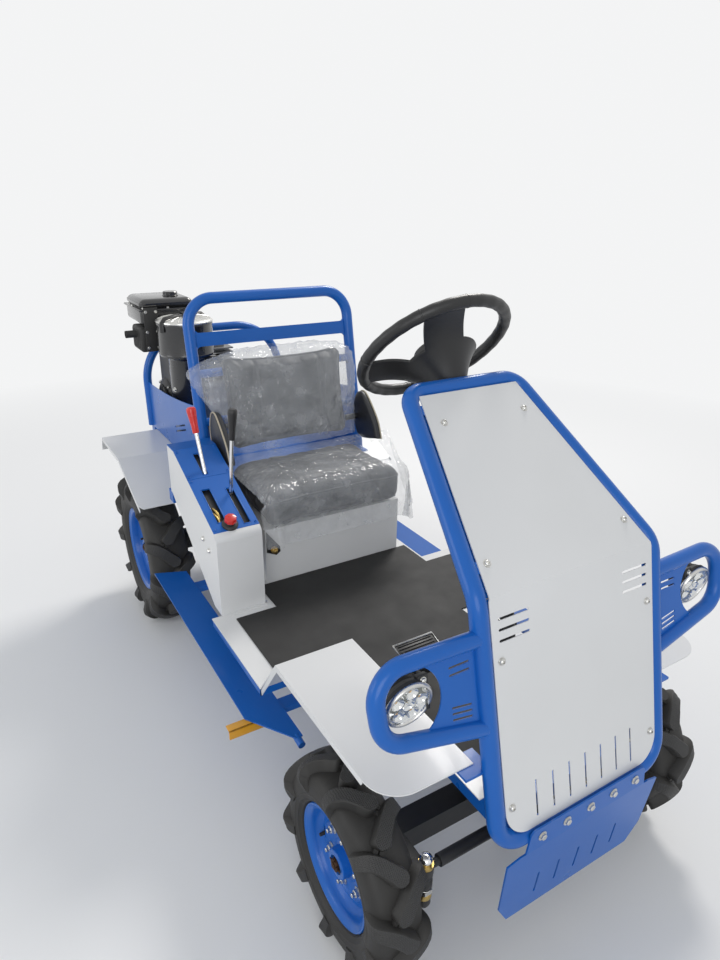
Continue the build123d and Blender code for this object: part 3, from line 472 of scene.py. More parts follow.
class Casing:
    """Cross-section of a tyre casing, met by distance along it from the middle of the tread."""

    def __init__(self, kind):
        half = bow([(s, r, 0) for s, r in kind["casing"]], 60)
        self.points = [(p.x, p.y) for p in half]
        self.runs = [0.0]
        for a, b in zip(self.points, self.points[1:]):
            self.runs.append(self.runs[-1] + sqrt((b[0] - a[0]) ** 2 + (b[1] - a[1]) ** 2))
        self.top = kind["radius"]

    def at(self, along, height):
        """(outboard, radius) of a point at a height over the casing."""
        side = 1 if along >= 0 else -1
        want = min(abs(along), self.runs[-1] - 1e-6)
        i = next(k for k in range(len(self.runs) - 1) if self.runs[k + 1] >= want)
        t = (want - self.runs[i]) / (self.runs[i + 1] - self.runs[i])
        (s0, r0), (s1, r1) = self.points[i], self.points[i + 1]
        run = Vector((s1 - s0, r1 - r0)).normalized()
        s = s0 + (s1 - s0) * t - run.y * height
        r = r0 + (r1 - r0) * t + run.x * height
        return side * s, r

    def point(self, along, round_it, height, phase):
        """Wheel point: X outboard, angle from the top towards the front."""
        s, r = self.at(along, height)
        angle = phase + round_it / self.top
        return Vector((s, -r * sin(angle), r * cos(angle)))


def add_lug(tread, casing, path, phase, flip):
    """Loft one lug along its path with a rounded nose."""
    line = bow([(u, c, 0) for u, c, w, h in path], 18)
    widths = bow([(w, h, 0) for u, c, w, h in path], 18)
    stations = [(p.x, p.y, w.x, w.y) for p, w in zip(line, widths)]
    end, before = line[-1], line[-2]
    run = (end - before).normalized()
    wide = widths[-1].x
    for k in range(1, 6):
        t = k / 5.4 * pi / 2
        nose_x, nose_y = (end[axis] + run[axis] * wide * sin(t) for axis in (0, 1))
        stations.append((nose_x, nose_y, wide * cos(t), widths[-1].y))
    rings = []
    for i, (u, c, w, h) in enumerate(stations):
        a = stations[max(i - 1, 0)]
        b = stations[min(i + 1, len(stations) - 1)]
        ahead_of = Vector((b[0] - a[0], b[1] - a[1])).normalized()
        out = Vector((-ahead_of.y, ahead_of.x))
        edge = min(2.2, w * 0.4, h * 0.3)
        left_half = ((-w - 5, -2), (-w, h - edge), (-w + edge, h))
        row = (*left_half, (0, h), *((-x, high) for x, high in reversed(left_half)))
        ring = []
        for across_it, high in row:
            x, y = u + out.x * across_it, c + out.y * across_it
            vert = draft.verts.new(casing.point(flip * x, y, high, phase))
            ring.append((vert, (x * MM, y * MM)))
        rings.append(ring)
    for a, b in zip(rings, rings[1:]):
        for k in range(len(a) - 1):
            corner = (a[k], b[k], b[k + 1], a[k + 1])
            face = draft.faces.new([v for v, flat in corner])
            face.material_index = 1 if 2 <= k <= 3 else 0
            for loop, (v, flat) in zip(face.loops, corner):
                loop[tread].uv = flat
    for ring in (rings[0], rings[-1]):
        draft.faces.new([v for v, flat in ring])


def add_step_block(casing, path, phase, flip):
    """Two low blocks ahead of a lug's nose."""
    start = path[-1]
    back = Vector((path[-1][0] - path[-2][0], path[-1][1] - path[-2][1])).normalized()
    out = Vector((-back.y, back.x))
    for low, high in ((-11, -1.5), (1.5, 11)):
        corners = []
        for along, across_it in ((8, low), (8, high), (40, high), (40, low)):
            corners.append([start[axis] + back[axis] * along + out[axis] * across_it for axis in (0, 1)])
        middle = [sum(corner[axis] for corner in corners) / 4 for axis in (0, 1)]
        rings = []
        for height, inset in ((-2, 0), (10, 0.6), (11, 1.0)):
            ring = []
            for corner in corners:
                for axis in (0, 1):
                    corner[axis] += copysign(inset, middle[axis] - corner[axis])
                ring.append(draft.verts.new(casing.point(flip * corner[0], corner[1], height, phase)))
            rings.append(ring)
        join(draft, rings)
        draft.faces.new(rings[-1])


def draw_tyre(kind):
    """Tyre of a left wheel about the origin."""
    casing = Casing(kind)
    tread = draft.loops.layers.uv.new("tread")
    reach_out = casing.runs[-1]
    rows = []
    count = 34
    for k in range(-count, count + 1):
        along = reach_out * k / count
        rib = 1.3 if 0.62 < abs(k) / count < 0.9 and k % 3 == 0 else 0
        rows.append(casing.at(along, rib))
    rows.append((rows[-1][0] - 14, rows[-1][1] - 1))
    rows.append((rows[0][0] + 14, rows[0][1] - 1))
    lathe(rows, turned(90, "Y"), 120, closed=True)
    pitch_angle = 2 * pi / kind["lugs"]
    lead = kind["path"][-1][1] / kind["radius"]
    for k in range(kind["lugs"]):
        for flip, shift in ((1, 0.0), (-1, 0.5)):
            phase = radians(kind["first"]) - lead + pitch_angle * (k + shift)
            add_lug(tread, casing, kind["path"], phase, flip)
            add_step_block(casing, kind["path"], phase, flip)
    bmesh.ops.recalc_face_normals(draft, faces=draft.faces)


slot_turn = 100
slot_half = 9.5


def draw_rim(kind):
    """Dished disc with a valve slot, and flanges, of a left wheel about the origin, outboard along X."""
    half, bead, flange = kind["rim_half"], kind["bead"], kind["flange"]
    slot_rows = (bead - 32.5, bead - 21.5)
    face_x, back_x = 11, 5
    hub = [(30, 0), (30, 20), (38, 22), (38, 32), (36, 34), (17, 36), (16, 43), (12, 48), (12, 60)]
    dish = [(face_x, bead - 44), (12, bead - 41), (16, bead - 38), (15, bead - 35)]
    dish += [(face_x, row) for row in slot_rows] + [(13, bead - 19), (18, bead - 14), (22, bead - 10)]
    dish += [(30, bead - 8.5), (half - 8, bead - 7), (half - 2, bead - 3)]
    lip = [(1, -7), (3.5, -4.5), (3, -1), (0, 0.5), (-3, -1), (-4.5, -5)]
    outer = [(half + x, flange + r) for x, r in lip] + [(half - 5, bead + 1)]
    inner = [(5 - half, bead + 1)] + [(-half - x, flange + r) for x, r in reversed(lip)]
    back = [(2 - half, bead - 3), (8 - half, bead - 6), (4, bead - 9), (6, bead - 20)]
    back += [(back_x, row) for row in reversed(slot_rows)]
    back += [(6, bead - 40), (6, 50), (6, 36), (-45, 34), (-45, 0)]
    lathe(hub + dish + outer + inner + back, turned(90, "Y"), 96, closed=True)
    cut = []
    for face in draft.faces:
        middle = face.calc_center_median()
        turn = degrees(atan2(middle.y, middle.z))
        off_face = min(abs(middle.x - face_x), abs(middle.x - back_x))
        in_row = slot_rows[0] - 1 < hypot(middle.y, middle.z) < slot_rows[1]
        if off_face < 0.2 and in_row and abs(turn - slot_turn) < slot_half:
            cut.append(face)
    bmesh.ops.delete(draft, geom=cut, context="FACES")
    bmesh.ops.bridge_loops(draft, edges=[edge for edge in draft.edges if edge.is_boundary])


nut_count, nut_first, nut_circle, nut_face = 6, 54, 69, 12


def wheel_place(kind, side):
    """Matrix from a left wheel about the origin to its place."""
    mirror = Matrix.Scale(-1, 4, (1, 0, 0)) if side < 0 else Matrix.Identity(4)
    return moved(side * wheel_x, kind["y"], kind["radius"]) @ mirror


def settle(place):
    """Set the draft down by a matrix, its faces outward."""
    bmesh.ops.transform(draft, matrix=place, verts=draft.verts)
    bmesh.ops.recalc_face_normals(draft, faces=draft.faces)


for end, kind in tyre_kinds.items():
    for side, side_name in sides:
        body = f"wheel_{end}_{side_name}"
        place = wheel_place(kind, side)
        draw_tyre(kind)
        settle(place)
        tyre = piece(f"tyre_looks_{end}_{side_name}", [tyre_skin, lug_skin], body)
        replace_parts(tyre, f"tyre_{end}_{side_name}")
        draw_rim(kind)
        settle(place)
        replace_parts(piece(f"rim_looks_{end}_{side_name}", blue, body), f"rim_{end}_{side_name}")
        for k in range(nut_count):
            t = radians(360 / nut_count * k + nut_first)
            spot = place @ Vector((nut_face, nut_circle * sin(t), nut_circle * cos(t)))
            stand = aim(spot, (side, 0, 0))
            hex_head(stand, 17, 9, 13)
            lathe([(9, 5), (17, 5), (18, 4), (18, 0)], stand, 16)
        piece(f"wheel_nuts_{end}_{side_name}", zinc, body)
        middle = aim(place @ Vector((29, 0, 0)), (side, 0, 0))
        lathe([(0, 19), (3, 19), (3.5, 18), (3.5, 15)], middle, 32)
        for k in range(6):
            castle = middle @ turned(60 * k, "Z")
            block((7, -5, 3), (14.5, 5, 14), 1, castle)
        lathe([(3, 14), (9, 14), (9, 8), (16, 8), (17, 6.5), (17, 0)], middle, 24)
        sweep(placed(middle, ((-22, 0, 11), (22, 0, 11), (24, 4, 12), (21, 8, 12))), 1.6, 8)
        piece(f"hub_nut_{end}_{side_name}", rusty, body)
        t = radians(slot_turn)
        reach = kind["bead"] - 27
        stem = [place @ Vector((x, reach * sin(t), reach * cos(t))) for x in (-6, 4, 14, 26)]
        sweep(stem, [6.5, 5.2, 4.6, 4.2], 16)
        piece(f"valve_{end}_{side_name}", tyre_skin, body)

# Steering wheel: ring, and one moulded shell whose three broad spokes run down into a deep hub
half_root = sqrt(0.5)
steer_axes = Matrix(((1, 0, 0), (0, -half_root, half_root), (0, -half_root, -half_root)))
steer_place = moved(0, -495, 1284) @ steer_axes.transposed().to_4x4()
ring_r = 180
ring_steps = 160
spokes = (112, 202, 292)
ring = []
widths = []
for k in range(ring_steps):
    t = 2 * pi * k / ring_steps
    ring.append(Vector((ring_r * cos(t), ring_r * sin(t), 0)))
    widths.append(14.4 + 0.35 * cos(30 * t))
sweep(ring, widths, 24, closed=True)
for turn in spokes:
    for step in (-17, 17):
        t = radians(turn + step)
        around = aim((ring_r * cos(t), ring_r * sin(t), 0), (-sin(t), cos(t), 0))
        lathe([(-2, 14.2), (-1.2, 15.2), (1.2, 15.2), (2, 14.2)], around, 24)
shell_rows = ((38, 106), (44, 96), (58, 74), (74, 54), (96, 34), (130, 18), (172, 9))
shell_depth = bow([(r, z, 0) for r, z in shell_rows], 48)
spoke_half = 47
hub_reach = 92


def shell_z(r):
    """Depth of the shell's back at a distance from the axis."""
    for a, b in zip(shell_depth, shell_depth[1:]):
        if r <= b.x:
            return a.y + (b.y - a.y) * (r - a.x) / (b.x - a.x)
    return shell_depth[-1].y


def shell_reach(turn):
    """How far from the axis the shell reaches at an angle."""
    off = min(abs((turn - spoke + 180) % 360 - 180) for spoke in spokes)
    flare = spoke_half / max(sin(radians(min(off, 90))), 0.01)
    return min(ring_r - 6, max(hub_reach, flare))


part = bmesh.new()
shell_steps = 288


def shell_ring(start, share, past=0.0, lift=0.0, flat=None):
    """Ring of the shell, a share of the way from a radius to the shell's edge, at its depth or a flat one."""
    ring = []
    for k in range(shell_steps):
        turn = 360 * k / shell_steps
        r = start + (shell_reach(turn) - start) * share
        z = shell_z(r) - lift if flat is None else flat
        r += past
        ring.append(part.verts.new((r * cos(radians(turn)), r * sin(radians(turn)), z)))
    return ring


grid = [shell_ring(38, (i / 14) ** 0.8) for i in range(15)]
grid += [shell_ring(0, 1.0, past, lift) for past, lift in ((0.6, 1.0), (0.9, 3.0), (0.6, 5.5))]
grid += [shell_ring(54, share, lift=6.5) for share in (1.0, 0.85, 0.7, 0.5, 0.3, 0.12, 0.0)]
hub_rows = ((53, 20), (52, 2), (50, -1), (46, -2.5), (30, -3.5), (12, -4), (1, -4))
grid += [shell_ring(r, 0.0, flat=z) for r, z in hub_rows]
join(part, grid)
part.faces.new(grid[0])
part.faces.new(grid[-1])
bmesh.ops.recalc_face_normals(part, faces=part.faces)
merge(part)
bmesh.ops.transform(draft, matrix=steer_place, verts=draft.verts)
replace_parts(piece("steering_wheel_looks", wheel_skin, "steering_wheel", sharp=42), "steering_wheel")
collar = [(100, 0), (100, 34), (107, 36), (113, 36), (116, 33)]
collar += [(116, 26), (120, 24), (120, 12), (150, 12), (150, 0)]
lathe(collar, steer_place, 48)
hex_head(steer_place @ moved(0, 0, 116), 36, 8)
piece("steering_shaft_collar", zinc, "steering_wheel")

# Headlamps: chrome ring, six reflector cups, finned back, and a bracket with two bolts
lamp_dip = radians(9)
for side, side_name in sides:
    place = aim((side * 405, -1011, 783), (0, -cos(lamp_dip), -sin(lamp_dip)))
    ring = [(-3, 42), (0, 43), (1.5, 45), (1.2, 48.5), (-2, 50.6), (-6, 50.6), (-6, 49)]
    lathe(ring, place, 64, skin=3)
    shell = [(-3, 49), (-3, 50), (-14, 50), (-17, 47.5), (-22, 46)]
    for k in range(5):
        z, r = -23 - 5 * k, 2.5 * k
        shell += [(z, 45 - r), (z - 2, 45 - r), (z - 2, 38 - r), (z - 5, 38 - r)]
    shell += [(-48, 28), (-50, 24), (-50, 0)]
    lathe(shell, place, 64, skin=0)
    lathe([(0, 43), (-3, 42), (-8, 34), (-11, 22), (-12, 0)], place, 48, skin=1)
    for k in range(6):
        t = radians(72 * k + 10)
        spot = (0, 0) if k == 0 else (27 * cos(t), 27 * sin(t))
        cup = place @ moved(*spot, 0)
        lathe([(-2.5, 13), (-4, 11.5), (-9, 7), (-10.5, 4), (-10.5, 0)], cup, 24, skin=1)
        block((-2.6, -2.6, -10.5), (2.6, 2.6, -9), 0.5, cup, skin=2)
    for turn in (45, 135):
        block((-11, -1, -9), (11, 1, -3.5), 0.3, place @ turned(turn, "Z"), skin=1)
    for k in range(9):
        block((-24 + 6 * k, -34, -46), (-21.5 + 6 * k, -10, -24), 0.5, place @ turned(90, "Z"), skin=0)
    lamp = piece(f"headlamp_{side_name}", [casting, chrome, yellow, zinc])
    if side < 0:
        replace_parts(lamp, "headlamps")
    lathe([(-1.5, 44), (0.5, 40), (2.5, 25), (3.2, 0)], place, 48)
    piece(f"lamp_lens_{side_name}", glass)
    bay = Matrix.Scale(side, 4, (1, 0, 0)) @ lower_run
    block((364, 388, -14), (387, 422, -1.6), 2, bay)
    block((358, 346, -40), (366, 412, -12), 2, bay)
    lathe([(-60, 7), (-60, 9), (-50, 11), (-48, 11), (-48, 7)], place, 24)
    lead = placed(place, ((0, 0, -48), (0, 3, -62), (-4, 12, -74)))
    lead += placed(bay, ((380, 400, -60), (330, 418, -34), (262, 424, -22)))
    sweep(bow(lead, 30), 3.2, 12)
    piece(f"lamp_bracket_{side_name}", black)
    for across_run, row in ((373, 397), (376, 412)):
        button_head(bay @ moved(across_run, row, -1.6), 5.5, 4.5, 7)
    piece(f"lamp_bolts_{side_name}", zinc)

# Hand levers, push knob, and what shows in the console's gates
lever_rows = (
    # foot, bend, top, grip radius, grip length, grip skin
    ((-378, 60, 640), (-378, 152, 840), (-386, 205, 1008), 15, 76, red),
    ((-332, 60, 640), (-332, 42, 800), (-326, 5, 1046), 14, 92, plastic),
)
# share of the grip's length and of its radius, from its foot to its top
grip_shape = ((0, 0), (0, 0.60), (0.04, 0.68), (0.3, 0.70), (0.62, 0.84),
              (0.86, 0.98), (0.94, 1.0), (1.02, 0.92), (1.07, 0.6), (1.08, 0))
sweep([(-438, 60, 640), (-302, 60, 640)], 9, 20)
for foot, bend, top, grip, long, skin in lever_rows:
    sweep(bow([foot, bend, top], 24), 6, 16)
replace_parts(piece("lever_rods", chrome), "hand_levers")
for number, (foot, bend, top, grip, long, skin) in enumerate(lever_rows):
    run = (Vector(top) - Vector(bend)).normalized()
    lathe([((z - 1) * long, r * grip) for z, r in grip_shape], aim(top, run), 40)
    piece(f"lever_grip_{number}", skin)
console_front, console_low = -92, 724
console_long, console_rise = 255 + 92, 862 - 721
console_slope = atan2(console_rise, console_long)


def on_console(x, y, rise=0.0):
    """Point over the console's sloping top, from its depth along the tractor."""
    return Vector((x, y, console_low + (y - console_front) * console_rise / console_long + rise))


def console_place(x, y):
    """Matrix standing on the console's sloping top."""
    return Matrix.Translation(on_console(x, y)) @ Matrix.Rotation(console_slope, 4, "X")


knob = console_place(-384, -74)
lathe([(0, 24), (5, 24), (7, 22), (9, 15), (14, 14), (14, 0)], knob, 40, skin=0)
cap = [(14, 8), (16, 8), (16, 15), (18, 17.5), (28, 17.5), (31, 16), (32.5, 12), (33, 0)]
lathe(cap, knob, 40, skin=1, squeeze=lambda z, r, t: r * (1 + 0.035 * cos(8 * t)) if r > 15 else r)
piece("push_knob", [plastic, red])
# half width, half length and middle of the three gates in the sloping top
gates = []
for x0, x1, y0, y1 in ((-415, -390, -58, 74), (-342, -322, -80, 62), (-386, -370, 133, 226)):
    long = (y1 - y0) / cos(console_slope) / 2
    gates.append(((x1 - x0) / 2, long, console_place((x0 + x1) / 2, (y0 + y1) / 2)))
for wide, long, place in gates:
    for sign in (-1, 1):
        x, y = sign * (wide + 1.2), sign * (long + 1.2)
        block((x - 1.2, -long - 2.4, -1), (x + 1.2, long + 2.4, 1.4), 0.6, place)
        block((-wide - 2.4, y - 1.2, -1), (wide + 2.4, y + 1.2, 1.4), 0.6, place)
piece("gate_rims", blue)
for wide, long, place in gates:
    block((-wide - 6, -long - 6, -14), (wide + 6, long + 6, -11), 1, place)
piece("gate_seals", plastic)
lip = [(-110.4, 698), (-109.6, 705), (-105.5, 712.5), (-99.5, 718.5), (-92, 722.5)]
lip += [(-91.4, 720.5), (-98.4, 716.6), (-103.8, 711), (-107.4, 704), (-108, 698)]
slab(lip, -440, -300, side_on, 0.3)
piece("console_lip", white)
for x, y in ((-402, 30), (-408, 12)):
    steps = ((0, 0, -34), (-3, -22, -12), (3, -52, -9), (2, -70, -26))
    sweep(bow([on_console(x + along, y + back, rise) for along, back, rise in steps], 20), 4, 12)
piece("gate_leads", brass)
for y in (-82, 112, 132, 244):
    for x in (-432, -308):
        button_head(console_place(x, y), 4.5, 3)
piece("console_screws", blue)
hex_heads(((-440, 10, 663), (-440, -38, 644)), (-1, 0, 0), 10, 5, 9)
piece("console_bolts", zinc)
for x, radius in ((-390, 13), (-372, 5)):
    sweep(bow([(x, 55, 632), (x - 4, 10, 590), (x - 8, -30, 520), (x + 30, -60, 458)], 24), radius, 16)
piece("console_rods", black)

# Seat box: painted shade at its right front corner, drawn as a flat dark plate, with its brass valve
painted_shade_outline = [(-247, 645), (-201, 583), (-200, 566), (-214, 556), (-247, 572)]
slab(painted_shade_outline, 0, 2.2, moved(0, -10, 0) @ turned(90, "X"), 0.8)
piece("seat_box_painted_shade", plastic)
tap = aim((-222, -12, 577), (0, -1, 0))
hex_head(tap, 19, 8, 12)
lathe([(8, 6), (16, 6), (17, 4.5), (17, 0)], tap, 24)
piece("seat_box_tap", brass)

# Fuel tank, air cleaner, muffler, and the engine's own small parts
block((-343, 884, 1152), (-132, 1108, 1214), 14, segments=4)
block((-350, 877, 1204), (-125, 1115, 1212), 3, segments=2)
part = bmesh.new()
block((-342, 885, 1208), (-133, 1107, 1246), 24, segments=6, into=part)
for v in part.verts:
    if v.co.z > 1230:
        v.co.z += 8 * (1 - ((v.co.x + 237) / 105) ** 2) * (1 - ((v.co.y - 996) / 111) ** 2)
merge(part)
cap = [(0, 0), (0, 30), (4, 31), (6, 28), (16, 28), (19, 25), (19, 0)]
lathe(cap, moved(-200, 970, 1245), 40, squeeze=lambda z, r, t: r * (1 + 0.02 * cos(16 * t)))
for y in (1000, 1014):
    block((-170, y, 925), (-130, y + 6, 1154), 1)
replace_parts(piece("fuel_tank_looks", tank_skin), "fuel_tank")
for x, y in ((-330, 892), (-238, 882), (-145, 892), (-345, 996), (-130, 996), (-330, 1100), (-145, 1100)):
    hex_head(moved(x, y, 1212), 8, 4, 6)
piece("tank_screws", zinc)

cleaner = moved(-215, 763, 0)
body = [(868, 0), (868, 64), (872, 69), (880, 70), (1040, 70), (1046, 74), (1052, 88), (1056, 99)]
body += [(1062, 102), (1064, 103), (1068, 102), (1166, 102), (1170, 103.5), (1178, 103.5), (1181, 102)]
lathe(body, cleaner, 72)
block((-155, 745, 1000), (-80, 785, 1040), 6, segments=3)
block((-110, 745, 1000), (-80, 840, 1040), 6, segments=3)
block((-235, 760, 704), (-195, 766, 900), 1)
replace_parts(piece("air_cleaner_looks", tank_skin), "air_cleaner")
lid = [(1178, 103), (1181, 105), (1185, 104), (1189, 98), (1193, 84), (1197, 60), (1199, 30), (1199.5, 0)]
lathe(lid, cleaner, 72)
lid_bead = ((40, 0, 1198.3), (62, 0, 1196.8), (84, 0, 1193), (96, 0, 1189.6))
for k in range(24):
    sweep(placed(cleaner @ turned(15 * k, "Z"), lid_bead), 1.3, 6)
piece("air_cleaner_lid", zinc)
bar = cleaner @ turned(25, "Z")
strap = [(-108, 1150), (-108, 1184), (-92, 1198), (-40, 1203)]
strap += [(0, 1205)] + [(-x, z) for x, z in reversed(strap)]
sweep([bar @ Vector((x, 0, z)) for x, z in strap], 3.2, 10, flat=2.6)
lathe([(1203, 0), (1203, 10), (1212, 8), (1212, 0)], cleaner, 24)
for sign in (-1, 1):
    wing_nut = placed(bar, ((sign * 4, 0, 1207), (sign * 14, 0, 1212), (sign * 22, 0, 1219)))
    sweep(wing_nut, [3.4, 3.6, 2.6], 10)
piece("air_cleaner_clamp", black)
for turn in (202, 262):
    t = radians(turn)
    hex_head(aim(cleaner @ Vector((70 * cos(t), 70 * sin(t), 930)), (cos(t), sin(t), 0)), 10, 5, 9)
piece("air_cleaner_bolts", zinc)

block((-355, 872, 1051), (-290, 1000, 1145), 12, segments=4)
for k in range(5):
    block((-357, 890 + 22 * k, 1062), (-350, 898 + 22 * k, 1134), 2.5)
block((-338, 862, 1056), (-284, 867, 1226), 1.5)
block((-338, 862, 1220), (-284, 884, 1226), 1.5)
outlet = [(-350, 14), (-350, 17), (-356, 17), (-358, 14), (-400, 14), (-400, 11), (-360, 11)]
lathe(outlet, moved(0, 920, 1118) @ turned(90, "Y"), 32)
block((-300, 907, 1051), (-135, 928, 1060), 2)
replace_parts(piece("muffler_looks", casting), "muffler")
hex_heads([(x, 862, z) for z in (1070, 1130, 1205) for x in (-330, -292)], (0, -1, 0), 8, 4, 6)
piece("muffler_screws", zinc)

# Recoil starter on the fan housing, spark plug, carburettor and crankcase fittings
fan = aim((-262, 925, 850), (-1, 0, 0))
lathe([(0, 84), (4, 82), (10, 70), (12, 66), (14, 60), (14, 0)], fan, 72)
for k in range(36):
    block((26, -1.8, 13), (58, 1.8, 18), 0.8, fan @ turned(10 * k, "Z"))
lathe([(14, 24), (20, 22), (22, 18), (22, 0)], fan, 48)
block((56, -17, 12), (72, 17, 26), 5, fan @ turned(40, "Z"), segments=4)
piece("recoil_starter", plastic)
for k in range(4):
    t = radians(90 * k + 45)
    hex_head(fan @ moved(76 * cos(t), 76 * sin(t), 6), 10, 6, 8)
for x in (-175, -25):
    for y in (824, 1023):
        hex_head(moved(x, y, 734), 14, 8, 12)
cover_spots = ((850, 745), (850, 905), (1005, 745), (1005, 905), (925, 915))
hex_heads([(20, y, z) for y, z in cover_spots], (1, 0, 0), 10, 6, 8)
hex_head(aim((-60, 1025, 760), (0, 1, 0)), 17, 9, 12)
for x, y in ((-122, 878), (-44, 878), (-122, 958), (-44, 958)):
    hex_head(moved(x, y, 1060), 12, 8, 9)
piece("engine_bolts", zinc)
plug = aim((-82, 918, 1060), (0.1, 0.2, 1))
lathe([(0, 11), (6, 11), (7, 7), (26, 6.5), (27, 9), (44, 9), (48, 7), (48, 0)], plug, 24)
lead = placed(plug, ((0, 0, 46), (2, 8, 62)))
sweep(bow(lead + [(-150, 955, 1100), (-205, 962, 1060), (-228, 960, 1040)], 30), 3.5, 12)
lathe([(0, 15), (14, 15), (16, 12), (24, 12), (24, 0)], aim((-150, 1018, 760), (0, 1, 0)), 28)
piece("spark_plug", plastic)
block((-70, 775, 962), (-22, 838, 1012), 7, segments=3)
lathe([(0, 24), (26, 24), (30, 20), (32, 8), (32, 0)], aim((-46, 806, 962), (0, 0, -1)), 36)
block((-24, 790, 980), (-6, 822, 990), 2)
piece("carburettor", alloy)
for x in (-178, -22):
    block((x - 16, 838, 742), (x + 16, 846, 905), 3)
for k in range(5):
    block((14, 862 + 32 * k, 752), (24, 867 + 32 * k, 895), 1.5)
lathe([(0, 44), (5, 44), (7, 40), (9, 26), (9, 0)], aim((20, 925, 830), (1, 0, 0)), 48)
piece("crankcase_ribs", alloy)

# Belt drive: two grooved pulleys with webs, and two belts
pulleys = ((925, 830, 55), (600, 340, 75))
for y, z, r in pulleys:
    place = moved(105, y, z) @ turned(90, "Y")
    rim = [(0, r - 14), (0, r)]
    for k in range(2):
        rim += [(1.5 + 14 * k, r), (5 + 14 * k, r - 9), (10 + 14 * k, r - 9), (13.5 + 14 * k, r)]
    rim += [(30, r), (30, r - 14), (20, r - 18), (20, 24), (30, 24), (30, 12), (0, 12)]
    rim += [(0, 24), (10, 24), (10, r - 18)]
    lathe(rim, place, 72, closed=True)
    hex_head(place @ moved(0, 0, 28), 19, 10, 16)
sweep([(20, 925, 830), (106, 925, 830)], 13, 24)
sweep([(95, 600, 340), (106, 600, 340)], 13, 24)
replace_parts(piece("pulleys", alloy), "belt_drive")
(y1, z1, r1), (y2, z2, r2) = pulleys
along = atan2(z2 - z1, y2 - y1)
half = acos((r1 - r2) / hypot(y2 - y1, z2 - z1))
loop = []
arcs = ((y1, z1, r1, along + half, along + 2 * pi - half), (y2, z2, r2, along - half, along + half))
for y, z, r, first, last in arcs:
    for k in range(25):
        t = first + (last - first) * k / 24
        loop.append((y + (r - 3) * cos(t), z + (r - 3) * sin(t)))
for x in (112.5, 126.5):
    sweep([(x, y, z) for y, z in loop], 5, 10, closed=True)
piece("belts", belt_skin)

# Button heads of the cowl panel, hex heads of the skid plate
for place, spots in ((upper_run, ((114, 377), (192, 59))), (lower_run, ((207, 396), (207, 85)))):
    for x, y in spots:
        for sign in (-1, 1):
            button_head(place @ moved(sign * x, y, 14), 6.5, 5, 8.5)
hex_heads([(x, -1126, 426) for x in (-141, -70.5, 0, 70.5, 141)], (0, -1, 0), 13, 6, 11)
piece("cowl_bolts", zinc)

# Tie rod: ball studs with rubber boots, chromed caps and jam nuts
stud_x, stud_y, rod_z = 330, -995, 311
for x in (-stud_x, 0, stud_x):
    stud = moved(x, stud_y, 0)
    lathe([(325, 0), (325, 9), (331, 13), (338, 15), (343, 13), (346, 8), (347, 0)], stud, 32, skin=2)
    lathe([(318, 14), (318, 17.5), (326, 17.5), (326, 9)], stud, 32, skin=1)
    lathe([(286, 8), (287, 13), (292, 17), (297, 16), (302, 18), (319, 18), (320, 14)], stud, 32)
for x0, x1 in ((-296, -158), (158, 296)):
    lathe([(0, 9), (0, 14), (x1 - x0, 14), (x1 - x0, 9)], moved(x0, stud_y, rod_z) @ turned(90, "Y"), 24)
for x, way in ((-158, 1), (158, -1)):
    hex_head(aim((x, stud_y, rod_z), (way, 0, 0)), 26, 10, 0, skin=1)
piece("tie_rod_ends", [plastic, brass, chrome], "tie_rod")
for x, body in ((-stud_x, "knuckle_right"), (stud_x, "knuckle_left"), (0, "drop_arm")):
    under = moved(x, stud_y, 0)
    lathe([(285, 0), (285, 13), (279, 17), (262, 17), (258, 15), (258, 0)], under, 32)
    hex_head(moved(x, stud_y, 258) @ turned(180, "X"), 32, 13, 17, skin=2)
    lathe([(245, 0), (245, 16), (243, 17), (230, 17), (228, 16), (228, 0)], under, 32, skin=1)
    end = [(228, 0), (228, 15), (212, 16), (204, 13), (200, 8), (200, 4), (192, 4), (190, 2), (190, 0)]
    lathe(end, under, 32)
    hex_head(moved(x, front_y, 297), 27, 14, 19, skin=2)
    piece(f"ball_stud_{body}", [plastic, brass, zinc], body)

# Ribbed pedal plates on their arms, the fenders' turned edges, and the clip under the right step
pedal_rows = (
    # middle, half width, half depth, foot of the arm
    ((-99, -622, 551), 60, 22, (-138, -695, 545)),
    ((120, -632, 562), 36, 24, (120, -695, 548)),
)
for middle, half_x, half_y, foot in pedal_rows:
    tilt = Matrix.Translation(middle) @ turned(14, "X")
    block((-half_x, -half_y, -2), (half_x, half_y, 2), 1.5, tilt)
    corners = ((-half_x, -half_y, 2), (half_x, -half_y, 2), (half_x, half_y, 2), (-half_x, half_y, 2))
    sweep(placed(tilt, corners), 3.4, 10, closed=True, skin=1)
    for k in range(4):
        row = half_y * (k - 1.5) / 2.4
        block((8 - half_x, row - 1.5, 1), (half_x - 8, row + 1.5, 4), 1, tilt)
    arm_x = -0.8 * half_x if foot[0] < middle[0] else 0
    sweep([foot, tilt @ Vector((arm_x, 0, -4))], 6, 14)
piece("pedal_plates", [black, zinc])
front_lip = [(-472, 458), (-569, 597), (-958, 597), (-962, 592), (-958, 584), (-576, 584), (-476, 444)]
rear_lip = [(446, 597), (715, 697), (990, 697), (990, 686), (718, 686), (449, 586)]
for side in (-1, 1):
    slab(front_lip, side * 470 - 1.2, side * 470 + 1.2, side_on, 0.4)
    slab(rear_lip, side * 524 - 1.2, side * 524 + 1.2, side_on, 0.4)
piece("fender_lips", white)
block((-556, -454, 319), (-462, -449, 346), 1.5)
block((-556, -454, 342), (-462, -426, 346), 1.5)
piece("step_clip", yellow)

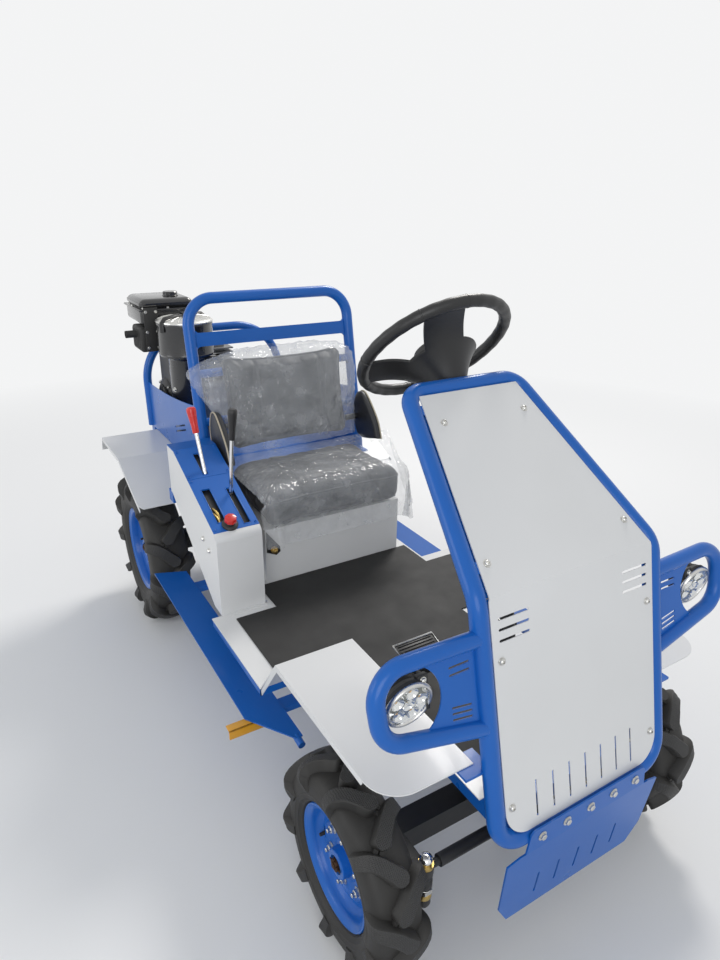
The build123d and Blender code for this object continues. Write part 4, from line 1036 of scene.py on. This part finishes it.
# Blue edge under the floor sheet, pegs at the steps' front ends, and bars beside the cowl panel
for side in (-1, 1):
    for x0, x1, y0, y1 in ((465, 470, -466, -112), (262, 470, -466, -461)):
        low_x, high_x = sorted((side * x0, side * x1))
        block((low_x, y0, 434), (high_x, y1, 456.5), 0.8)
    sweep([(side * 412, -548, 342), (side * 412, -580, 338)], 10, 24)
lower_long = hypot(cowl_points[1][1] - cowl_points[0][1], cowl_points[1][2] - cowl_points[0][2])
upper_long = hypot(cowl_points[2][1] - cowl_points[1][1], cowl_points[2][2] - cowl_points[1][2])
bars = (
    # place, length of the run, half width at its ends, where the bar begins and ends
    (lower_run, lower_long, 238, 243, (60, lower_long)),
    (upper_run, upper_long, 243, 154, (0, upper_long - 40)),
)
for place, long, wide, narrow, ends in bars:
    edge = [(wide + (narrow - wide) * y / long, y) for y in ends]
    strip = [(x - off, y) for (x, y), offs in zip(edge, ((14, 34), (34, 14))) for off in offs]
    for sign in (-1, 1):
        slab([(sign * x, y) for x, y in strip], 2, 5, place, 0.6)
piece("floor_and_cowl_edges", blue)

# Stay rod behind the console, and the line with brass fittings beside the seat
sweep([(-380, 236, 560), (-370, 207, 490), (-370, 164, 413)], 12, 20)
sweep([(-380, 236, 560), (-380, 240, 640)], 12, 20)
block((-390, 224, 600), (-302, 256, 612), 2)
line = bow([(-276, 150, 640), (-276, 112, 688), (-276, 60, 690), (-276, 10, 655), (-278, -30, 590)], 40)
sweep(line, 6, 14)
block((-300, 78, 676), (-270, 92, 700), 2)
piece("console_stay", black)
for k in (7, 12, 18, 25, 31):
    across_line = aim(line[k], line[k + 1] - line[k])
    hex_head(across_line @ moved(0, 0, -7), 19, 14)
    lathe([(7, 0), (7, 8.5), (13, 7.5), (13, 0)], across_line, 20)
piece("line_fittings", brass)

# Soft pieces
guard_back, guard_high = 110, 596
guard_foot_y, guard_foot_z = 345, 704
guard_slope = guard_back / guard_high
lean = Matrix.Rotation(-atan2(guard_back, guard_high), 4, "X")


def guard_y(z):
    """Depth of the seat hoop's centre line at a height."""
    return guard_foot_y + guard_slope * (z - guard_foot_z)


def bake(obj):
    """Turn what an object's modifiers make of it into its own mesh."""
    bpy.context.view_layer.update()
    made = bpy.data.meshes.new_from_object(obj.evaluated_get(bpy.context.evaluated_depsgraph_get()))
    obj.modifiers.clear()
    obj.data = made
    made.shade_smooth()


def simulate(obj, frames):
    """Step the cloth on an object and keep its last shape."""
    scene.frame_start, scene.frame_end = 1, frames
    for at in range(1, frames + 1):
        scene.frame_set(at)
    bake(obj)
    scene.frame_set(1)


puff_voxel = 0.006
puff_pressure = 4.0
puff_frames = 20
puff_most = 0.012


def puff(obj):
    """Swell a closed pad like stuffed fabric, each point by no more than the most."""
    grid = obj.modifiers.new("grid", "REMESH")
    grid.mode = "VOXEL"
    grid.voxel_size = puff_voxel
    bake(obj)
    before = [v.co.copy() for v in obj.data.vertices]
    cloth = obj.modifiers.new("cloth", "CLOTH")
    cloth.settings.use_pressure = True
    cloth.settings.uniform_pressure_force = puff_pressure
    cloth.settings.effector_weights.gravity = 0
    cloth.point_cache.frame_end = puff_frames
    simulate(obj, puff_frames)
    for v, start in zip(obj.data.vertices, before):
        moved_by = v.co - start
        if moved_by.length > puff_most:
            v.co = start + moved_by * (puff_most / moved_by.length)


seam_pull_x, seam_pull_y = 0.022, 0.018
channel_depth, channel_half = 7.0, 9


def pad(name, place, size, corner, crown, channels=()):
    """Stuffed pad: crowned on its upper side, pulled in at its seams."""
    block([-s / 2 for s in size], [s / 2 for s in size], corner, segments=5)
    bmesh.ops.subdivide_edges(draft, edges=list(draft.edges), cuts=4, use_grid_fill=True)
    for v in draft.verts:
        fx = max(1 - (2 * v.co.x / size[0]) ** 2, 0)
        fy = max(1 - (2 * v.co.y / size[1]) ** 2, 0)
        if v.co.z > 0:
            v.co.z += crown * sqrt(fx * fy)
        v.co.x *= 1 - seam_pull_x * fy
        v.co.y *= 1 - seam_pull_y * fx
    bmesh.ops.transform(draft, matrix=place, verts=draft.verts)
    obj = piece(name, vinyl, sharp=80)
    puff(obj)
    back = place.inverted()
    for v in obj.data.vertices:
        spot = back @ (v.co / MM)
        if spot.z < -size[2] * 0.1:
            continue
        sink = 0.0
        for axis, at in channels:
            off = abs(spot[axis] - at)
            sink += channel_depth * max(0.0, 1 - off / channel_half) ** 2
        v.co += (place.to_3x3() @ Vector((0, 0, -sink))) * MM
    obj.data.shade_smooth()
    return obj


def piping(held, place, z):
    """Closed bead round a pad, laid on its surface at one height."""
    corners = [v.co / MM for v in held.data.vertices]
    surface = BVHTree.FromPolygons(corners, [list(face.vertices) for face in held.data.polygons])
    points = []
    for k in range(120):
        t = 2 * pi * k / 120
        start = place @ Vector((900 * cos(t), 900 * sin(t), z))
        point = surface.ray_cast(start, (place @ Vector((0, 0, z))) - start)[0]
        if point is not None:
            points.append(point)
    sweep(points, 3.2, 10, closed=True)


cushion_place = moved(0, 122, 714)
cushion = pad("seat_cushion_looks", cushion_place, (502, 326, 112), 34, 16, ((0, -125), (0, 125), (1, 40)))
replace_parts(cushion, "seat_cushion")
back_place = moved(0, 346, 962) @ lean @ turned(90, "X")
backrest = pad("seat_back_looks", back_place, (458, 316, 66), 28, 8, ((0, -120), (0, 120)))
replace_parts(backrest, "seat_back")
piping(cushion, cushion_place, 34)
piping(cushion, cushion_place, -40)
piping(backrest, back_place, 20)
piece("seat_piping", vinyl)
wing_points = ((72, -88), (76, 30), (40, 62), (-30, 66), (-84, 40), (-92, 4), (-60, -30), (10, -74))
outline = bow([(x, y, 0) for x, y in wing_points + wing_points[:1]], 48)[:-1]
for side, side_name in sides:
    wing = moved(side * 278, 262, 868) @ lean @ turned(90, "Y")
    part = bmesh.new()
    layers = []
    for z, shrink in ((-12, 0.82), (-11, 0.93), (-6, 1.0), (6, 1.0), (11, 0.93), (12, 0.82)):
        layers.append([part.verts.new((p.x * shrink, p.y * shrink, z)) for p in outline])
    join(part, layers)
    for layer in (layers[0], layers[-1]):
        part.faces.new(layer)
    bmesh.ops.recalc_face_normals(part, faces=part.faces)
    merge(part, wing)
    sweep([(side * 222, 306, 862), (side * 272, 306, 862)], 11, 20)
    held = piece(f"seat_wing_{side_name}", vinyl, sharp=60)
    sweep([wing @ Vector((p.x * 1.01, p.y * 1.01, side * 9)) for p in outline], 2.6, 10, closed=True)
    piece(f"seat_wing_piping_{side_name}", cream)


def crease(point, scale, depth):
    """Sharp-ridged folds of thin film at a point."""
    first = 1 - abs(mist.noise(Vector((point.x * 0.5, point.y, point.z * 0.35)) * scale))
    second = 1 - abs(mist.noise(Vector((point.x, point.y * 0.6, point.z)) * scale * 2.3 + Vector((7, 3, 1))))
    return depth * (first ** 3 * 1.2 + second ** 4 * 0.6 - 0.9)


def crumple(obj, scale, depth):
    """Push a film in and out along its own surface in creases."""
    bm = bmesh.new()
    bm.from_mesh(obj.data)
    bm.normal_update()
    moves = [(v, v.normal * crease(v.co, scale, depth)) for v in bm.verts]
    for v, move in moves:
        v.co += move
    bm.to_mesh(obj.data)
    bm.free()
    obj.data.shade_smooth()


# Clear film laid over the cushion, hanging down the seat box in front
film_x, film_y = (-286, 372), (-228, 262)
columns, lines = 94, 70
cushion_half, cushion_front, cushion_top = 268, -56, 793
film_start = 806
film_gap = 0.004
film_frames = 44
grid = []
for j in range(lines + 1):
    row = []
    for i in range(columns + 1):
        x = film_x[0] + (film_x[1] - film_x[0]) * i / columns
        y = film_y[0] + (film_y[1] - film_y[0]) * j / lines
        row.append(draft.verts.new((x, y, film_start)))
    grid.append(row)
join(draft, grid, around=False)
cover = piece("seat_film", film, sharp=180)
held = cover.vertex_groups.new(name="held")
rear_edge = (film_y[1] - 10) * MM
held.add([v.index for v in cover.data.vertices if v.co.y > rear_edge], 1.0, "REPLACE")
bm = bmesh.new()
low, high = (-cushion_half, cushion_front, 640), (cushion_half, 305, cushion_top)
block(low, high, 40, segments=4, into=bm)
block((-252, -12, 459), (252, 302, 652), 4, into=bm)
bmesh.ops.scale(bm, vec=(MM, MM, MM), verts=bm.verts)
mesh = bpy.data.meshes.new("stop")
bm.to_mesh(mesh)
bm.free()
stop = bpy.data.objects.new("stop", mesh)
scene.collection.objects.link(stop)
stop.modifiers.new("stop", "COLLISION")
stop.collision.thickness_outer = film_gap
stop.collision.cloth_friction = 8
cloth = cover.modifiers.new("cloth", "CLOTH")
cloth.settings.quality = 6
cloth.settings.mass = 0.15
cloth.settings.tension_stiffness = 25
cloth.settings.compression_stiffness = 25
cloth.settings.bending_stiffness = 1.2
cloth.settings.air_damping = 2
cloth.settings.vertex_group_mass = "held"
cloth.collision_settings.distance_min = film_gap
cloth.point_cache.frame_end = film_frames
simulate(cover, film_frames)
bpy.data.objects.remove(stop)
crumple(cover, 26, 0.0022)

# Clear bag over the backrest, its right shoulder pulled round the hoop's leg
bag_rows = (
    # height, right half width, left half width, front depth, rear depth
    (812, 246, 246, 54, 40), (850, 250, 249, 64, 42), (900, 258, 252, 66, 44), (950, 276, 256, 67, 46),
    (1000, 300, 260, 67, 52), (1045, 326, 262, 66, 62), (1075, 322, 262, 64, 60), (1100, 292, 258, 57, 50),
    (1120, 232, 244, 45, 40), (1134, 170, 214, 28, 26), (1140, 120, 170, 10, 10),
)
levels = bow([(r[0], r[1], r[2]) for r in bag_rows], 64)
depths = bow([(r[3], r[4], 0) for r in bag_rows], 64)
around = 150
grid = []
for level, depth in zip(levels, depths):
    z = level.x
    middle = guard_y(z) - 54
    row = []
    for k in range(around):
        t = 2 * pi * k / around
        cx, cy = cos(t), sin(t)
        flat = (abs(cx) ** 5 + abs(cy) ** 5) ** -0.2
        reach = level.z if cx > 0 else level.y
        deep = depth.x if cy < 0 else depth.y
        bulge = 0.0
        if cx < 0 and cy > -0.2:
            bulge = 42 * max(0.0, 1 - abs(z - 1052) / 62) * max(0.0, min(1.0, (-cx * flat - 0.72) / 0.2))
        row.append(draft.verts.new((cx * flat * reach, middle + cy * flat * deep + bulge, z)))
    grid.append(row)
join(draft, grid)
bag = piece("seat_back_film", film, sharp=180)
crumple(bag, 17, 0.0075)
